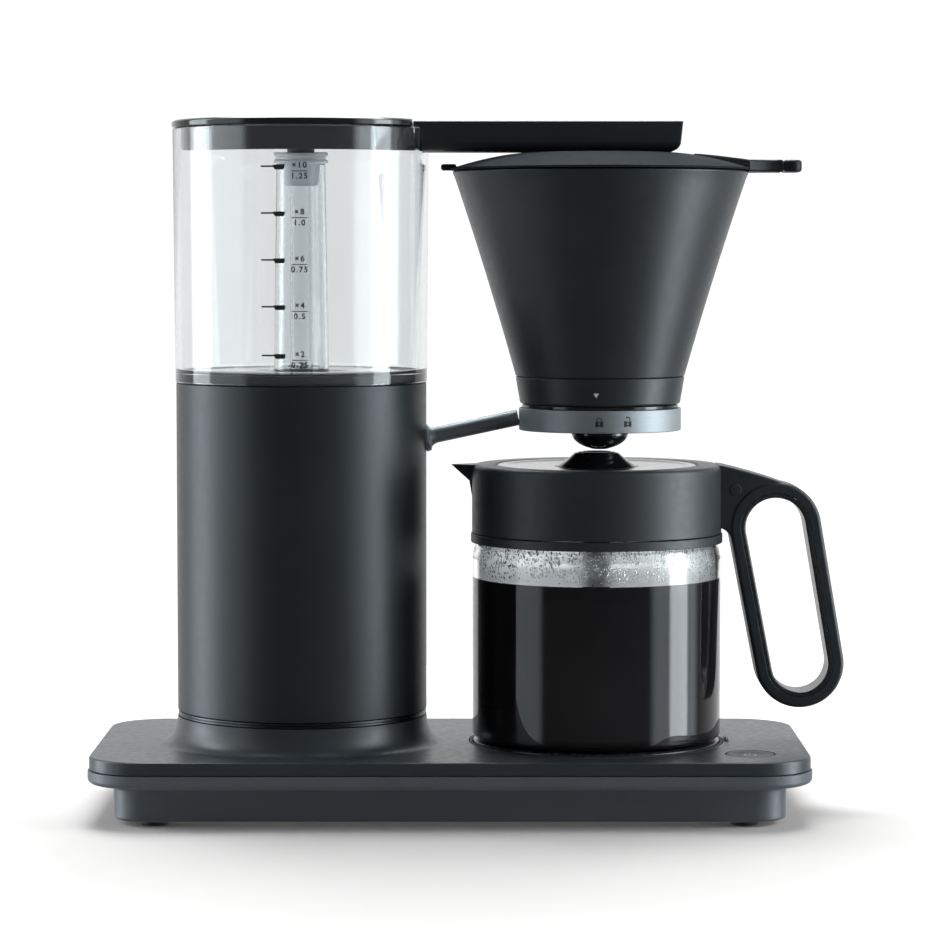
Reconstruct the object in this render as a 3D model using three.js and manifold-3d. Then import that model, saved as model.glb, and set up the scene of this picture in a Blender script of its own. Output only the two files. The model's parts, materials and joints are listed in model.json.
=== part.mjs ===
// Drip coffee maker: a clear water tank on a round tower, an outlet arm, a filter cone in a steel ring
// and a glass jug on a warming plate. Millimetres, +Z up, the front faces -Y.
// Inside the groups, X and Y are measured from the tower's axis, the filter's axis or the jug's axis.

import * as THREE from 'three';
import { mergeVertices } from 'three/addons/utils/BufferGeometryUtils.js';
import Module from 'manifold-3d';

const wasm = await Module();
wasm.setup();

// ---- driving dimensions ----------------------------------------------------------------------------

const GAP = 0.3;                  // between pieces that rest on each other
const ROUND = 32;                 // sides of a large round
const SMALL = 16;                 // sides of a small round
const TINY = 8;                   // sides of a screw or a wire

// the base, measured from the tower's axis
const BASE = {
  left: -103.5,
  right: 255.0,
  half: 81.2,
  corner: 28.5,
  top: 34.0,
  band: 27.4,
  lip: 20.5,
  bottom: 2.6,
  lipOut: 0.8,
  inset: 12.2,
  wall: 3,
};
const FOOT = { r: 7.1, y: 57, xs: [-70.7, 221.7] };
const SCREW = { head: 2.8, shank: 1.3, bore: 1.7, boss: 4.5, y: 58, xs: [-45, 196] };
const BUTTON = { x: 225.2, y: -49.8, r: 12.1, hole: 12.5, bottom: 29.5 };
const GLAND = { x: 20, z: 13.0, hole: 5.8, bore: 3.6, flange: 7.2, tip: 78 };

const TOWER = { r: 63.5, wall: 2.2, flareR: 72.5, flareTop: 47.9, sleeve: 51.0, top: 217.1 };
const DOCK = { r: 60.0, z: 208.0, top: 220.0 };
const VALVE = { x: 0, y: 30, stemHole: 2.8, waterHole: 1.2, waterR: 4.4, socket: 8.0, headR: 7.4 };
const SPIGOT_Y = VALVE.y + 4.6;   // where the water leaves the dock's socket
const RISER = { r: 6.2, bore: 4.6, bottom: 196, top: 316 };

const TANK = {
  r: 63.9,
  rTop: 64.9,
  wall: 3.2,
  bottom: 217.4,
  floor: 220.4,
  floorTop: 223.2,
  top: 345.6,
  column: 14.0,
  columnTop: 12.4,
  columnEnd: 325.2,
  columnWall: 1.7,
};
const LID = { r: 65.3, top: 349.4, skirtR: 60.6, skirtWall: 2.2, skirtEnd: 333.4, cut: 56.9 };
const ARM = {
  start: 57.3,
  end: 192.7,
  half: 18.3,
  bottom: 333.8,
  top: 348.8,
  edge: 5.0,
  endRound: 4.3,
  endLean: 1.6,
  endWall: 8.0,
  tongueTop: 341.0,
  tongueHalf: 13.0,
  tongueEnd: -16.0,
};

const FILTER_X = 151.8;
const RING = { r: 41.2, bore: 39.3, bottom: 193.0, top: 204.3 };
const SEAT = { r: 38.9, flange: 39.8, bore: 30.0, bottom: 194.5, top: 206.0 };
const ROD = { r: 4.05, x0: 64.4, z0: 189.4, x1: 110.4, z1: 199.3, weldR: 7.2, weld: 3.2 };
const CONE = { rim: 74.9, top: 324.1, bottom: 220.6, wall: 2.2, floor: 212.0, stub: 37.6 };
const COLLAR = { rTop: 42.9, rBottom: 40.7, top: 220.3, bottom: 206.4, wall: 2.6 };
const NOZZLE = { r: 14.6, z: 192.0, tip: 183.1, tipR: 3.6, top: 211.6, wall: 1.8 };
const HANDLE_TAB = { start: 60, split: 92.0, end: 101.4, half: 11.0, corner: 7.0, bottom: 323.4, top: 329.6 };
const FILTER_LID = {
  rim: 76.2,
  rimZ: 324.5,
  dishR: 36.5,
  dome: 333.3,
  dish: 330.2,
  hole: 9.0,
  lip: 3.1,
  tabStart: 50,
};

const JUG_X = 150.2;
const PLATE = { r: 62.8, hole: 65.1, top: 34.9, bottom: 32.0 };
const JUG = { r: 63.3, wall: 2.4, bottom: 35.2, shoulder: 134.5, neck: 57.5, neckTop: 168.5 };
const BAND = { r: 63.5, bottom: 135.9, top: 140.5 };
const JUG_COLLAR = { r: 63.5, inner: 51.3, bottom: 140.8, top: 175.4, wall: 3.0, edge: 2.4 };
const SPOUT = { tip: 74.2, tipZ: 175.4, root: 165.2, half: 15 };
const JUG_LID = { r: 50.8, z: 174.0, bossR: 20.1, shoulderR: 11.7, shoulderZ: 180.8, topZ: 181.9 };
const MIXER = { r: 7.1, bore: 5.7, bottom: 62 };

// the handle's loop, measured from the jug's axis: a tapered ring round two centres
const LOOP = {
  topX: 90.5,
  topZ: 143.6,
  topR: 23.2,
  lowX: 103.1,
  lowZ: 74.3,
  lowR: 22.4,
  leg: 8.0,
  liner: 2.4,
  half: 11.5,
};

// the pieces inside the base, the tower and the arm
const HEATER = { r: 42, wire: 4, below: 4.3, gapAngle: 0.25 };
const SWITCH = { half: 9, bottom: 9, top: 22, stemR: 3.2, wellR: 4.2 };
const BOARD = { left: -85, right: -15, front: -38, rear: 6, z: 9, thick: 1.6 };
const BOILER = { r: 44, bore: 26, bottom: 96, top: 120, gap: 0.5, stubR: 35, stubAngle: 0.68, stubTop: 132 };
const CHECK_VALVE = { r: 7, bottom: 140, top: 156, spigot: 4.5, bore: 2.4 };
const FRAME = { r: 58, bore: 48, postIn: 49, postOut: 57, postHalf: 7, foot: 48.2 };
const SHOWER = { r: 9.6, bottom: 331.4, top: 333.5, holeR: 1.1, holes: 6, circle: 5 };
const JUG_SCREW = { x: 70.1, z: 162.9, r: 3.0 };

const HANDLE_RIGHT = JUG_X + LOOP.lowX + LOOP.lowR;
const CENTRE_X = (BASE.left - BASE.lipOut + HANDLE_RIGHT) / 2;

// ---- materials -------------------------------------------------------------------------------------

const finishes = {
  charcoal: { color: 0x2a2e31, roughness: 0.55, metalness: 0 },
  sleeve: { color: 0x34383b, roughness: 0.4, metalness: 0.4 },
  gloss: { color: 0x14171a, roughness: 0.12, metalness: 0 },
  steel: { color: 0x8d9396, roughness: 0.3, metalness: 1 },
  trim: { color: 0xb9bec1, roughness: 0.35, metalness: 1 },
  clear: { color: 0xe6eef2, roughness: 0.03, metalness: 0, transparent: true, opacity: 0.3 },
  glass: { color: 0xdfe8ea, roughness: 0.02, metalness: 0, transparent: true, opacity: 0.3 },
  silicone: { color: 0xa9afb1, roughness: 0.5, metalness: 0 },
  rubber: { color: 0x16181a, roughness: 0.8, metalness: 0 },
  aluminium: { color: 0xa7abad, roughness: 0.45, metalness: 1 },
  board: { color: 0x1f5a38, roughness: 0.6, metalness: 0 },
  white: { color: 0xd8d8d2, roughness: 0.5, metalness: 0 },
};

// ---- solids ----------------------------------------------------------------------------------------

// A closed solid from a three.js geometry, with its faces pointing out.
function solid(geometry) {
  const bare = geometry.clone();
  bare.deleteAttribute('normal');
  bare.deleteAttribute('uv');
  const merged = mergeVertices(bare, 1e-4);
  const vertProperties = new Float32Array(merged.attributes.position.array);
  const index = Array.from(merged.index.array);
  const kept = [];
  for (let i = 0; i < index.length; i += 3) {
    const [a, b, c] = index.slice(i, i + 3);
    if (a !== b && b !== c && c !== a) {
      kept.push(a, b, c);
    }
  }
  if (signedVolume(vertProperties, kept) < 0) {
    kept.reverse();
  }
  return new wasm.Manifold(new wasm.Mesh({ numProp: 3, vertProperties, triVerts: new Uint32Array(kept) }));
}

function signedVolume(points, triangles) {
  const corner = (i) => new THREE.Vector3().fromArray(points, i * 3);
  let volume = 0;
  for (let i = 0; i < triangles.length; i += 3) {
    const [a, b, c] = [corner(triangles[i]), corner(triangles[i + 1]), corner(triangles[i + 2])];
    volume += a.dot(b.cross(c)) / 6;
  }
  return volume;
}

function join(first, ...others) {
  return others.reduce((sum, other) => sum.add(other), first);
}

function cut(first, ...others) {
  return others.reduce((rest, other) => rest.subtract(other), first);
}

// A body of revolution about +Z from [radius, height] points.
// A profile that doesn't touch the axis closes on itself.
function turned(profile, sides = ROUND) {
  const points = profile.map(([r, z]) => new THREE.Vector2(r, z));
  const onAxis = profile[0][0] === 0 && profile[profile.length - 1][0] === 0;
  if (!onAxis) {
    points.push(points[0].clone());
  }
  return solid(new THREE.LatheGeometry(points, sides).rotateX(Math.PI / 2));
}

// A plain ring or, with no bore, a disc.
function ring(r, bore, z0, z1, sides = ROUND) {
  if (bore === 0) {
    return turned([[0, z0], [r, z0], [r, z1], [0, z1]], sides);
  }
  return turned([[bore, z0], [r, z0], [r, z1], [bore, z1]], sides);
}

function block(x0, x1, y0, y1, z0, z1) {
  const box = new THREE.BoxGeometry(x1 - x0, y1 - y0, z1 - z0);
  return solid(box.translate((x0 + x1) / 2, (y0 + y1) / 2, (z0 + z1) / 2));
}

// An outline in X and Y, raised from z0 to z1.
function raised(shape, z0, z1, curveSegments = 3) {
  const options = { depth: z1 - z0, bevelEnabled: false, curveSegments };
  return solid(new THREE.ExtrudeGeometry(shape, options).translate(0, 0, z0));
}

// An outline in X and Z, as thick as twice the given half width about Y = 0.
function slab(shape, half, curveSegments = 6) {
  const options = { depth: 2 * half, bevelEnabled: false, curveSegments };
  return solid(new THREE.ExtrudeGeometry(shape, options).rotateX(Math.PI / 2).translate(0, half, 0));
}

// A rod or, with a bore, a pipe along a curve.
function piped(curve, r, bore, steps, sides = SMALL) {
  const section = new THREE.Shape().absarc(0, 0, r, 0, 2 * Math.PI);
  if (bore > 0) {
    section.holes.push(new THREE.Path().absarc(0, 0, bore, 0, 2 * Math.PI, true));
  }
  const options = { steps, bevelEnabled: false, extrudePath: curve, curveSegments: sides / 2 };
  return solid(new THREE.ExtrudeGeometry(section, options));
}

function straight(from, to) {
  return new THREE.LineCurve3(new THREE.Vector3(...from), new THREE.Vector3(...to));
}

function throughPoints(points) {
  return new THREE.CatmullRomCurve3(points.map((p) => new THREE.Vector3(...p)), false, 'centripetal');
}

function at(body, x, y = 0, z = 0) {
  return body.translate(x, y, z);
}

// A compression spring about the Z axis.
function coil(r, wire, z0, z1, turns) {
  class Helix extends THREE.Curve {
    getPoint(t, target = new THREE.Vector3()) {
      const angle = 2 * Math.PI * turns * t;
      return target.set(r * Math.cos(angle), r * Math.sin(angle), z0 + wire + t * (z1 - z0 - 2 * wire));
    }
  }
  return piped(new Helix(), wire, 0, turns * 7, 4);
}

// The base's outline in plan, moved in by the given amount.
function baseOutline(inset) {
  const left = BASE.left + inset;
  const right = BASE.right - inset;
  const half = BASE.half - inset;
  const r = BASE.corner - inset;
  const shape = new THREE.Shape();
  shape.moveTo(left + r, -half);
  shape.lineTo(right - r, -half);
  shape.absarc(right - r, -half + r, r, -Math.PI / 2, 0);
  shape.lineTo(right, half - r);
  shape.absarc(right - r, half - r, r, 0, Math.PI / 2);
  shape.lineTo(left + r, half);
  shape.absarc(left + r, half - r, r, Math.PI / 2, Math.PI);
  shape.lineTo(left, -half + r);
  shape.absarc(left + r, -half + r, r, Math.PI, 1.5 * Math.PI);
  return shape;
}

// ---- assembly --------------------------------------------------------------------------------------

function assembly(x = 0) {
  const group = new THREE.Group();
  group.position.x = x;
  return group;
}

const group = new THREE.Group();
const body = assembly(-CENTRE_X);
const atFilter = assembly(FILTER_X);
const atJug = assembly(JUG_X);
group.add(body);
body.add(atFilter, atJug);

function piece(parent, name, finish, shape) {
  const { vertProperties, triVerts } = shape.getMesh();
  const geometry = new THREE.BufferGeometry();
  geometry.setAttribute('position', new THREE.BufferAttribute(vertProperties, 3));
  geometry.setIndex(new THREE.BufferAttribute(triVerts, 1));
  geometry.computeVertexNormals();
  const mesh = new THREE.Mesh(geometry, new THREE.MeshStandardMaterial(finishes[finish]));
  mesh.name = name;
  parent.add(mesh);
}

// ---- base ------------------------------------------------------------------------------------------

// The top plate with its skirt, the flare that carries the tower, and the small stop beside the jug.
function baseCover() {
  const plate = raised(baseOutline(0), BASE.band, BASE.top);
  const under = raised(baseOutline(BASE.wall), BASE.band - 1, BASE.top - 2.6);
  const inside = TOWER.r - 4;
  const profile = [[inside, BASE.top - 2], [TOWER.flareR, BASE.top - 2]];
  const steps = 4;
  for (let i = 0; i <= steps; i++) {
    const angle = (i / steps) * (Math.PI / 2);
    const r = TOWER.flareR - (TOWER.flareR - TOWER.r) * Math.sin(angle);
    const z = TOWER.flareTop - (TOWER.flareTop - BASE.top) * Math.cos(angle);
    profile.push([r, z]);
  }
  profile.push([inside, TOWER.flareTop]);
  const stop = at(ring(67.8, 65.4, BASE.top - 1, BASE.top + 2.2), JUG_X);
  const nearStop = block(JUG_X + 40, JUG_X + 70, -7, 6, BASE.top - 2, BASE.top + 4);
  return cut(
    join(cut(plate, under), turned(profile), stop.intersect(nearStop)),
    ring(55, 0, BASE.band, BASE.top + 1),
    at(ring(PLATE.hole, 0, BASE.band, BASE.top + 1), JUG_X),
    at(ring(BUTTON.hole, 0, BASE.band, BASE.top + 1, SMALL), BUTTON.x, BUTTON.y),
  );
}

// The narrower body under the plate: its lip, its wall, four screw bosses and the hole of the gland.
function baseHousing() {
  const lip = raised(baseOutline(-BASE.lipOut), BASE.lip, BASE.band - GAP);
  const wall = raised(baseOutline(BASE.inset), BASE.bottom, BASE.lip + 0.5);
  const cavity = raised(baseOutline(BASE.inset + BASE.wall), BASE.bottom - 1, BASE.band + 1);
  let housing = cut(join(lip, wall), cavity);
  for (const x of SCREW.xs) {
    for (const side of [-1, 1]) {
      const y = side * SCREW.y;
      const rib = block(x - 1.5, x + 1.5, Math.min(y, side * 67), Math.max(y, side * 67), 5.6, 19);
      const boss = at(ring(SCREW.boss, 0, 5.6, 19, TINY), x, y);
      housing = join(housing, rib, boss).subtract(at(ring(SCREW.bore, 0, 4, 16, TINY), x, y));
    }
  }
  const glandHole = piped(straight([GLAND.x, 60, GLAND.z], [GLAND.x, 75, GLAND.z]), GLAND.hole, 0, 1, SMALL);
  return cut(housing, glandHole);
}

// The sheet steel bottom, with its vents and its screw holes.
function basePan() {
  let pan = raised(baseOutline(BASE.inset + BASE.wall + 0.4), 3.8, 5.2);
  const places = SCREW.xs.flatMap((x) => [[x, -SCREW.y], [x, SCREW.y]]);
  for (const [x, y] of places) {
    pan = pan.subtract(at(ring(SCREW.bore, 0, 3, 6, TINY), x, y));
  }
  for (let i = 0; i < 6; i++) {
    const x = 20 + i * 12;
    pan = pan.subtract(block(x, x + 5, -22, 22, 3, 6));
  }
  return pan;
}

function feet() {
  const profile = [[0, 0], [FOOT.r - 0.6, 0], [FOOT.r, 0.8], [FOOT.r, 3.3], [0, 3.3]];
  for (const x of FOOT.xs) {
    for (const side of [-1, 1]) {
      const name = `foot_${side < 0 ? 'front' : 'rear'}_${x < 0 ? 'left' : 'right'}`;
      piece(body, name, 'rubber', at(turned(profile, SMALL), x, side * FOOT.y));
    }
  }
}

function panScrews() {
  const profile = [[0, 2.0], [SCREW.head - 0.6, 2.0], [SCREW.head, 2.8], [SCREW.head, 3.5]];
  profile.push([SCREW.shank, 3.5], [SCREW.shank, 13], [0, 13.6]);
  for (const x of SCREW.xs) {
    for (const side of [-1, 1]) {
      const name = `pan_screw_${side < 0 ? 'front' : 'rear'}_${x < 0 ? 'left' : 'right'}`;
      piece(body, name, 'steel', at(turned(profile, TINY), x, side * SCREW.y));
    }
  }
}

// The warming plate and what hangs under it.
function warmingPlate() {
  const disc = [[0, PLATE.bottom], [PLATE.r, PLATE.bottom], [PLATE.r, PLATE.top - 0.5]];
  disc.push([PLATE.r - 0.5, PLATE.top], [0, PLATE.top]);
  piece(atJug, 'hot_plate', 'aluminium', turned(disc));
  piece(atJug, 'hot_plate_seal', 'rubber', ring(PLATE.hole - GAP, PLATE.r + GAP, PLATE.bottom, BASE.top));
  const steps = 24;
  const loopEnd = 2 * Math.PI - HEATER.gapAngle;
  const loop = new THREE.EllipseCurve(0, 0, HEATER.r, HEATER.r, HEATER.gapAngle, loopEnd);
  const path = throughPoints(loop.getPoints(steps).map((p) => [p.x, p.y, PLATE.bottom - HEATER.below]));
  piece(atJug, 'plate_heater', 'steel', piped(path, HEATER.wire, 0, steps, 8));
  piece(atJug, 'plate_thermostat', 'white', ring(9, 0, 24, PLATE.bottom - GAP, SMALL));
}

function powerButton() {
  const cap = ring(BUTTON.r, 0, BUTTON.bottom, BASE.top, SMALL);
  const stem = ring(SWITCH.stemR, 0, BUTTON.bottom - 4, BUTTON.bottom + 1, TINY);
  piece(body, 'power_button', 'charcoal', at(join(cap, stem), BUTTON.x, BUTTON.y));
  const spring = coil(5.2, 0.5, SWITCH.top + GAP, BUTTON.bottom - GAP, 3);
  piece(body, 'button_spring', 'steel', at(spring, BUTTON.x, BUTTON.y));
  const housing = block(-SWITCH.half, SWITCH.half, -SWITCH.half, SWITCH.half, SWITCH.bottom, SWITCH.top);
  const well = ring(SWITCH.wellR, 0, SWITCH.top - 5, SWITCH.top + 1, TINY);
  piece(body, 'power_switch', 'white', at(cut(housing, well), BUTTON.x, BUTTON.y));
}

// The board that feeds the boiler and the plate, with its relay, capacitor and terminals.
function powerBoard() {
  const face = BOARD.z + BOARD.thick;
  const sunk = face - 0.2;
  const sheet = block(BOARD.left, BOARD.right, BOARD.front, BOARD.rear, BOARD.z, face);
  const relay = block(BOARD.left + 7, BOARD.left + 25, BOARD.front + 6, BOARD.front + 20, sunk, face + 15.4);
  const capFront = BOARD.front + 6;
  const capacitor = block(BOARD.left + 33, BOARD.left + 49, capFront, capFront + 12, sunk, face + 13.4);
  const terminals = block(BOARD.left + 5, BOARD.left + 55, BOARD.rear - 10, BOARD.rear - 2, sunk, face + 9.4);
  return join(sheet, relay, capacitor, terminals);
}

// The inlet that the lead goes through: a collar inside and outside the rear wall.
function cordGland() {
  const outside = BASE.half - BASE.inset + GAP;
  const inside = -outside + BASE.wall + 2 * GAP;
  const profile = [
    [GLAND.bore, inside + 2.4],
    [GLAND.flange, inside + 2.4],
    [GLAND.flange, inside],
    [GLAND.hole - GAP, inside],
    [GLAND.hole - GAP, -outside],
    [GLAND.flange, -outside],
    [GLAND.flange, -outside - 2.5],
    [GLAND.hole - 0.6, -GLAND.tip],
    [GLAND.bore, -GLAND.tip],
  ];
  return turned(profile, SMALL).rotate([90, 0, 0]).translate(GLAND.x, 0, GLAND.z);
}

piece(body, 'base_cover', 'charcoal', baseCover());
piece(body, 'base_housing', 'charcoal', baseHousing());
piece(body, 'base_pan', 'steel', basePan());
feet();
panScrews();
warmingPlate();
powerButton();
piece(body, 'power_board', 'board', powerBoard());
piece(body, 'cord_gland', 'rubber', cordGland());

// ---- tower -----------------------------------------------------------------------------------------

// The rod's axis, from inside the tower to the ring.
const rodSlope = (ROD.z1 - ROD.z0) / (ROD.x1 - ROD.x0);
const rodAt = (x) => [x, 0, ROD.z0 + rodSlope * (x - ROD.x0)];
const rodHole = piped(straight(rodAt(45), rodAt(80)), ROD.r + GAP, 0, 1, SMALL);

function towerSleeve() {
  const tube = ring(TOWER.r, TOWER.r - TOWER.wall, TOWER.sleeve, TOWER.top);
  return cut(tube, rodHole);
}

// The inner frame: a foot, three posts, a head under the dock and the socket of the support rod.
function towerFrame() {
  const headZ = DOCK.z - GAP - 3.7;
  const foot = ring(FRAME.r, FRAME.bore, FRAME.foot, FRAME.foot + 2.8);
  const head = ring(FRAME.r, FRAME.bore, headZ, DOCK.z - GAP);
  const postFoot = FRAME.foot + 1.8;
  const post = block(FRAME.postIn, FRAME.postOut, -FRAME.postHalf, FRAME.postHalf, postFoot, headZ + 1);
  const posts = [0, 120, 240].map((angle) => post.rotate([0, 0, angle]));
  const socket = block(FRAME.postIn - 7, FRAME.r, -8, 8, 178, 194);
  return cut(join(foot, head, ...posts, socket), rodHole);
}

// The dock under the tank: a dark dished disc with the valve socket, its pin and the hole of the riser.
function tankDock() {
  const disc = turned([[0, DOCK.z], [58, DOCK.z], [DOCK.r, 211], [DOCK.r, DOCK.top], [0, DOCK.top]]);
  const socket = at(ring(VALVE.socket, 0, DOCK.z + 3, DOCK.top + 1, SMALL), VALVE.x, VALVE.y);
  const pin = at(ring(1.6, 0, DOCK.z + 2, 213.6, TINY), VALVE.x, VALVE.y);
  const spigot = at(ring(4.2, 0, 200, DOCK.z + 1, SMALL), VALVE.x, SPIGOT_Y);
  const spigotBore = at(ring(2.4, 0, 199, DOCK.z + 4, TINY), VALVE.x, SPIGOT_Y);
  const riserHole = ring(RISER.r + GAP, 0, DOCK.z - 1, DOCK.top + 1, SMALL);
  const whole = join(cut(disc, socket), pin, spigot);
  return cut(whole, spigotBore, riserHole);
}

// Where the boiler's two water stubs stand.
const stubX = BOILER.stubR * Math.cos(BOILER.stubAngle);
const stubY = BOILER.stubR * Math.sin(BOILER.stubAngle);

// The flow heater: a horseshoe of cast aluminium with its water stubs and its two terminals.
function boiler() {
  const shape = new THREE.Shape();
  shape.absarc(0, 0, BOILER.r, BOILER.gap, 2 * Math.PI - BOILER.gap);
  shape.absarc(0, 0, BOILER.bore, 2 * Math.PI - BOILER.gap, BOILER.gap, true);
  const horseshoe = raised(shape, BOILER.bottom, BOILER.top, 10);
  const ends = [1, -1].map((side) => {
    const stubR = side < 0 ? 6.2 : 4.5;
    const water = ring(stubR, 0, BOILER.top - 1, BOILER.stubTop, SMALL);
    const terminal = ring(2.2, 0, BOILER.bottom - 10, BOILER.bottom + 1, TINY);
    return at(water.add(terminal), stubX, side * stubY);
  });
  return join(horseshoe, ...ends);
}

function boilerBracket() {
  const strap = cut(ring(47.5, 44.6, 104, 112), block(0, 60, -60, 60, 100, 116));
  const legs = [120, 240].map((angle) => block(45.5, 48.6, -6, 6, 102, 114).rotate([0, 0, angle]));
  return join(strap, ...legs);
}

function towerInternals() {
  piece(body, 'boiler', 'aluminium', boiler());
  piece(body, 'boiler_bracket', 'steel', boilerBracket());
  const thermostat = ring(8, 0, BOILER.top + GAP, BOILER.top + 6, SMALL);
  piece(body, 'boiler_thermostat', 'white', at(thermostat, -BOILER.stubR, 0));

  const { r, bottom, top, spigot, bore } = CHECK_VALVE;
  const valveBody = join(
    ring(r, 0, bottom, top, SMALL),
    ring(spigot, 0, BOILER.stubTop + GAP, bottom + 1, SMALL),
    ring(spigot - GAP, 0, top - 1, top + 7, SMALL),
  );
  const valveBore = ring(bore, 0, BOILER.stubTop - 1, top + 8, TINY);
  piece(body, 'check_valve', 'white', at(cut(valveBody, valveBore), stubX, stubY));

  const supply = [
    [VALVE.x, SPIGOT_Y, 207],
    [VALVE.x, SPIGOT_Y, 203],
    [VALVE.x, SPIGOT_Y, 197],
    [12, 32, 183],
    [stubX, stubY, 168],
    [stubX, stubY, 163],
    [stubX, stubY, 157],
  ];
  piece(body, 'inlet_hose', 'silicone', hose(supply, 5.1));

  const delivery = [
    [stubX, -stubY, 125],
    [stubX, -stubY, 130],
    [stubX, -stubY, 138],
    [14, -11, 164],
    [0, 0, 182],
    [0, 0, 193],
    [0, 0, 199],
  ];
  piece(body, 'outlet_hose', 'silicone', hose(delivery, 7.0));
  piece(body, 'riser_tube', 'clear', ring(RISER.r, RISER.bore, RISER.bottom, RISER.top, SMALL));
}

// A hose that slips over the stubs at its two ends.
function hose(points, bore) {
  return piped(throughPoints(points), bore + 1.8, bore, 12, 8);
}

piece(body, 'tower_sleeve', 'sleeve', towerSleeve());
const trimRing = ring(TOWER.r - 0.2, TOWER.r - 3.5, TOWER.flareTop + GAP, TOWER.sleeve - GAP);
piece(body, 'sleeve_trim_ring', 'trim', trimRing);
piece(body, 'tower_frame', 'white', towerFrame());
piece(body, 'tank_dock', 'charcoal', tankDock());
piece(body, 'dock_seal', 'rubber', at(ring(7.6, 5.9, 217.4, TANK.floor - GAP, SMALL), VALVE.x, VALVE.y));
towerInternals();

// ---- support rod, ring and seat --------------------------------------------------------------------

function supportRod() {
  const shaft = piped(straight(rodAt(50), rodAt(FILTER_X)), ROD.r, 0, 1, SMALL);
  const ringSpace = at(ring(RING.r + GAP, 0, 170, 230), FILTER_X);
  const weld = turned([[0, 0], [ROD.weldR, 0], [ROD.r, ROD.weld], [0, ROD.weld]], SMALL);
  const tilt = 90 - THREE.MathUtils.radToDeg(Math.atan(rodSlope));
  const flare = weld.rotate([0, tilt, 0]).translate(...rodAt(TOWER.r + 0.6));
  const outside = cut(flare, ring(TOWER.r + GAP, 0, 170, 210));
  return join(cut(shaft, ringSpace), outside);
}

piece(body, 'support_rod', 'steel', supportRod());
piece(atFilter, 'holder_ring', 'steel', turned([
  [RING.bore, RING.bottom],
  [RING.r - 0.6, RING.bottom],
  [RING.r, RING.bottom + 0.6],
  [RING.r, RING.top - 0.6],
  [RING.r - 0.6, RING.top],
  [RING.bore, RING.top],
]));

piece(atFilter, 'filter_seat', 'gloss', turned([
  [SEAT.bore, SEAT.bottom],
  [SEAT.r, SEAT.bottom],
  [SEAT.r, RING.top + GAP],
  [SEAT.flange, RING.top + GAP],
  [SEAT.flange, SEAT.top],
  [SEAT.bore, SEAT.top],
]));

// ---- filter ----------------------------------------------------------------------------------------

// The cone's outer radius: straight sides that flare a little towards the rim.
function coneRadius(z) {
  const t = (z - CONE.bottom) / (CONE.top - CONE.bottom);
  return COLLAR.rTop + (CONE.rim - COLLAR.rTop) * (t + 0.1 * t * (t - 1));
}

function filterCone() {
  const levels = [0, 0.3, 0.65, 1].map((t) => CONE.bottom + t * (CONE.top - CONE.bottom));
  const outside = levels.map((z) => [coneRadius(z), z]);
  const inside = levels.map((z) => [coneRadius(z) - CONE.wall, z]).reverse();
  inside[inside.length - 1][1] += CONE.wall;
  return turned([
    [4.5, CONE.floor],
    [CONE.stub, CONE.floor],
    [CONE.stub, CONE.bottom],
    ...outside,
    ...inside,
    [CONE.stub - CONE.wall, CONE.bottom + CONE.wall],
    [CONE.stub - CONE.wall, CONE.floor + CONE.wall],
    [4.5, CONE.floor + CONE.wall],
  ]);
}

const collarProfile = [
  [COLLAR.rBottom - COLLAR.wall, COLLAR.bottom + 5],
  [COLLAR.rBottom - COLLAR.wall, COLLAR.bottom],
  [COLLAR.rBottom - 1.2, COLLAR.bottom],
  [COLLAR.rBottom, COLLAR.bottom + 1.6],
  [COLLAR.rTop, COLLAR.top],
  [COLLAR.rTop - COLLAR.wall, COLLAR.top],
];

// The black cap under the cone, hollow, with the hole that the drip stop closes.
function nozzle() {
  const dome = (r, z, bore) => {
    const points = [[bore, z]];
    for (const t of [0.5, 0.8, 1]) {
      points.push([r * t, z + (NOZZLE.z - NOZZLE.tip) * (1 - Math.sqrt(1 - t * t * 0.94))]);
    }
    return points;
  };
  const outer = dome(NOZZLE.r, NOZZLE.tip, NOZZLE.tipR + GAP);
  const inner = dome(NOZZLE.r - NOZZLE.wall, NOZZLE.tip + NOZZLE.wall, NOZZLE.tipR + GAP).reverse();
  return turned([
    ...outer,
    [NOZZLE.r, NOZZLE.top],
    [NOZZLE.r - NOZZLE.wall, NOZZLE.top],
    ...inner,
  ], SMALL);
}

// The plunger that shuts the nozzle until the jug's lid lifts it.
const plunger = [
  [0, NOZZLE.tip],
  [NOZZLE.tipR - 0.6, NOZZLE.tip],
  [NOZZLE.tipR, NOZZLE.tip + 0.6],
  [NOZZLE.tipR, 187.6],
  [6.5, 188.2],
  [6.5, 190.4],
  [2.2, 190.8],
  [2.2, 197.0],
  [0, 197.0],
];

// The side handle: a flat tab that grows from the rim, and its separate soft tip.
function handleTab(from, to, corner) {
  const half = HANDLE_TAB.half;
  const shape = new THREE.Shape();
  shape.moveTo(from, -half);
  if (corner > 0) {
    shape.lineTo(to - corner, -half);
    shape.absarc(to - corner, -half + corner, corner, -Math.PI / 2, 0);
    shape.absarc(to - corner, half - corner, corner, 0, Math.PI / 2);
  } else {
    shape.lineTo(to, -half);
    shape.lineTo(to, half);
  }
  shape.lineTo(from, half);
  return raised(shape, HANDLE_TAB.bottom, HANDLE_TAB.top);
}

function filterHandle() {
  const tab = handleTab(HANDLE_TAB.start, HANDLE_TAB.split - GAP, 0);
  const coneSpace = turned([
    [0, HANDLE_TAB.bottom - 1],
    [coneRadius(HANDLE_TAB.bottom - 1) + GAP, HANDLE_TAB.bottom - 1],
    [coneRadius(CONE.top) + GAP, CONE.top],
    [FILTER_LID.rim + GAP, CONE.top],
    [FILTER_LID.rim + GAP, HANDLE_TAB.top + 1],
    [0, HANDLE_TAB.top + 1],
  ]);
  return cut(tab, coneSpace);
}

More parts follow.
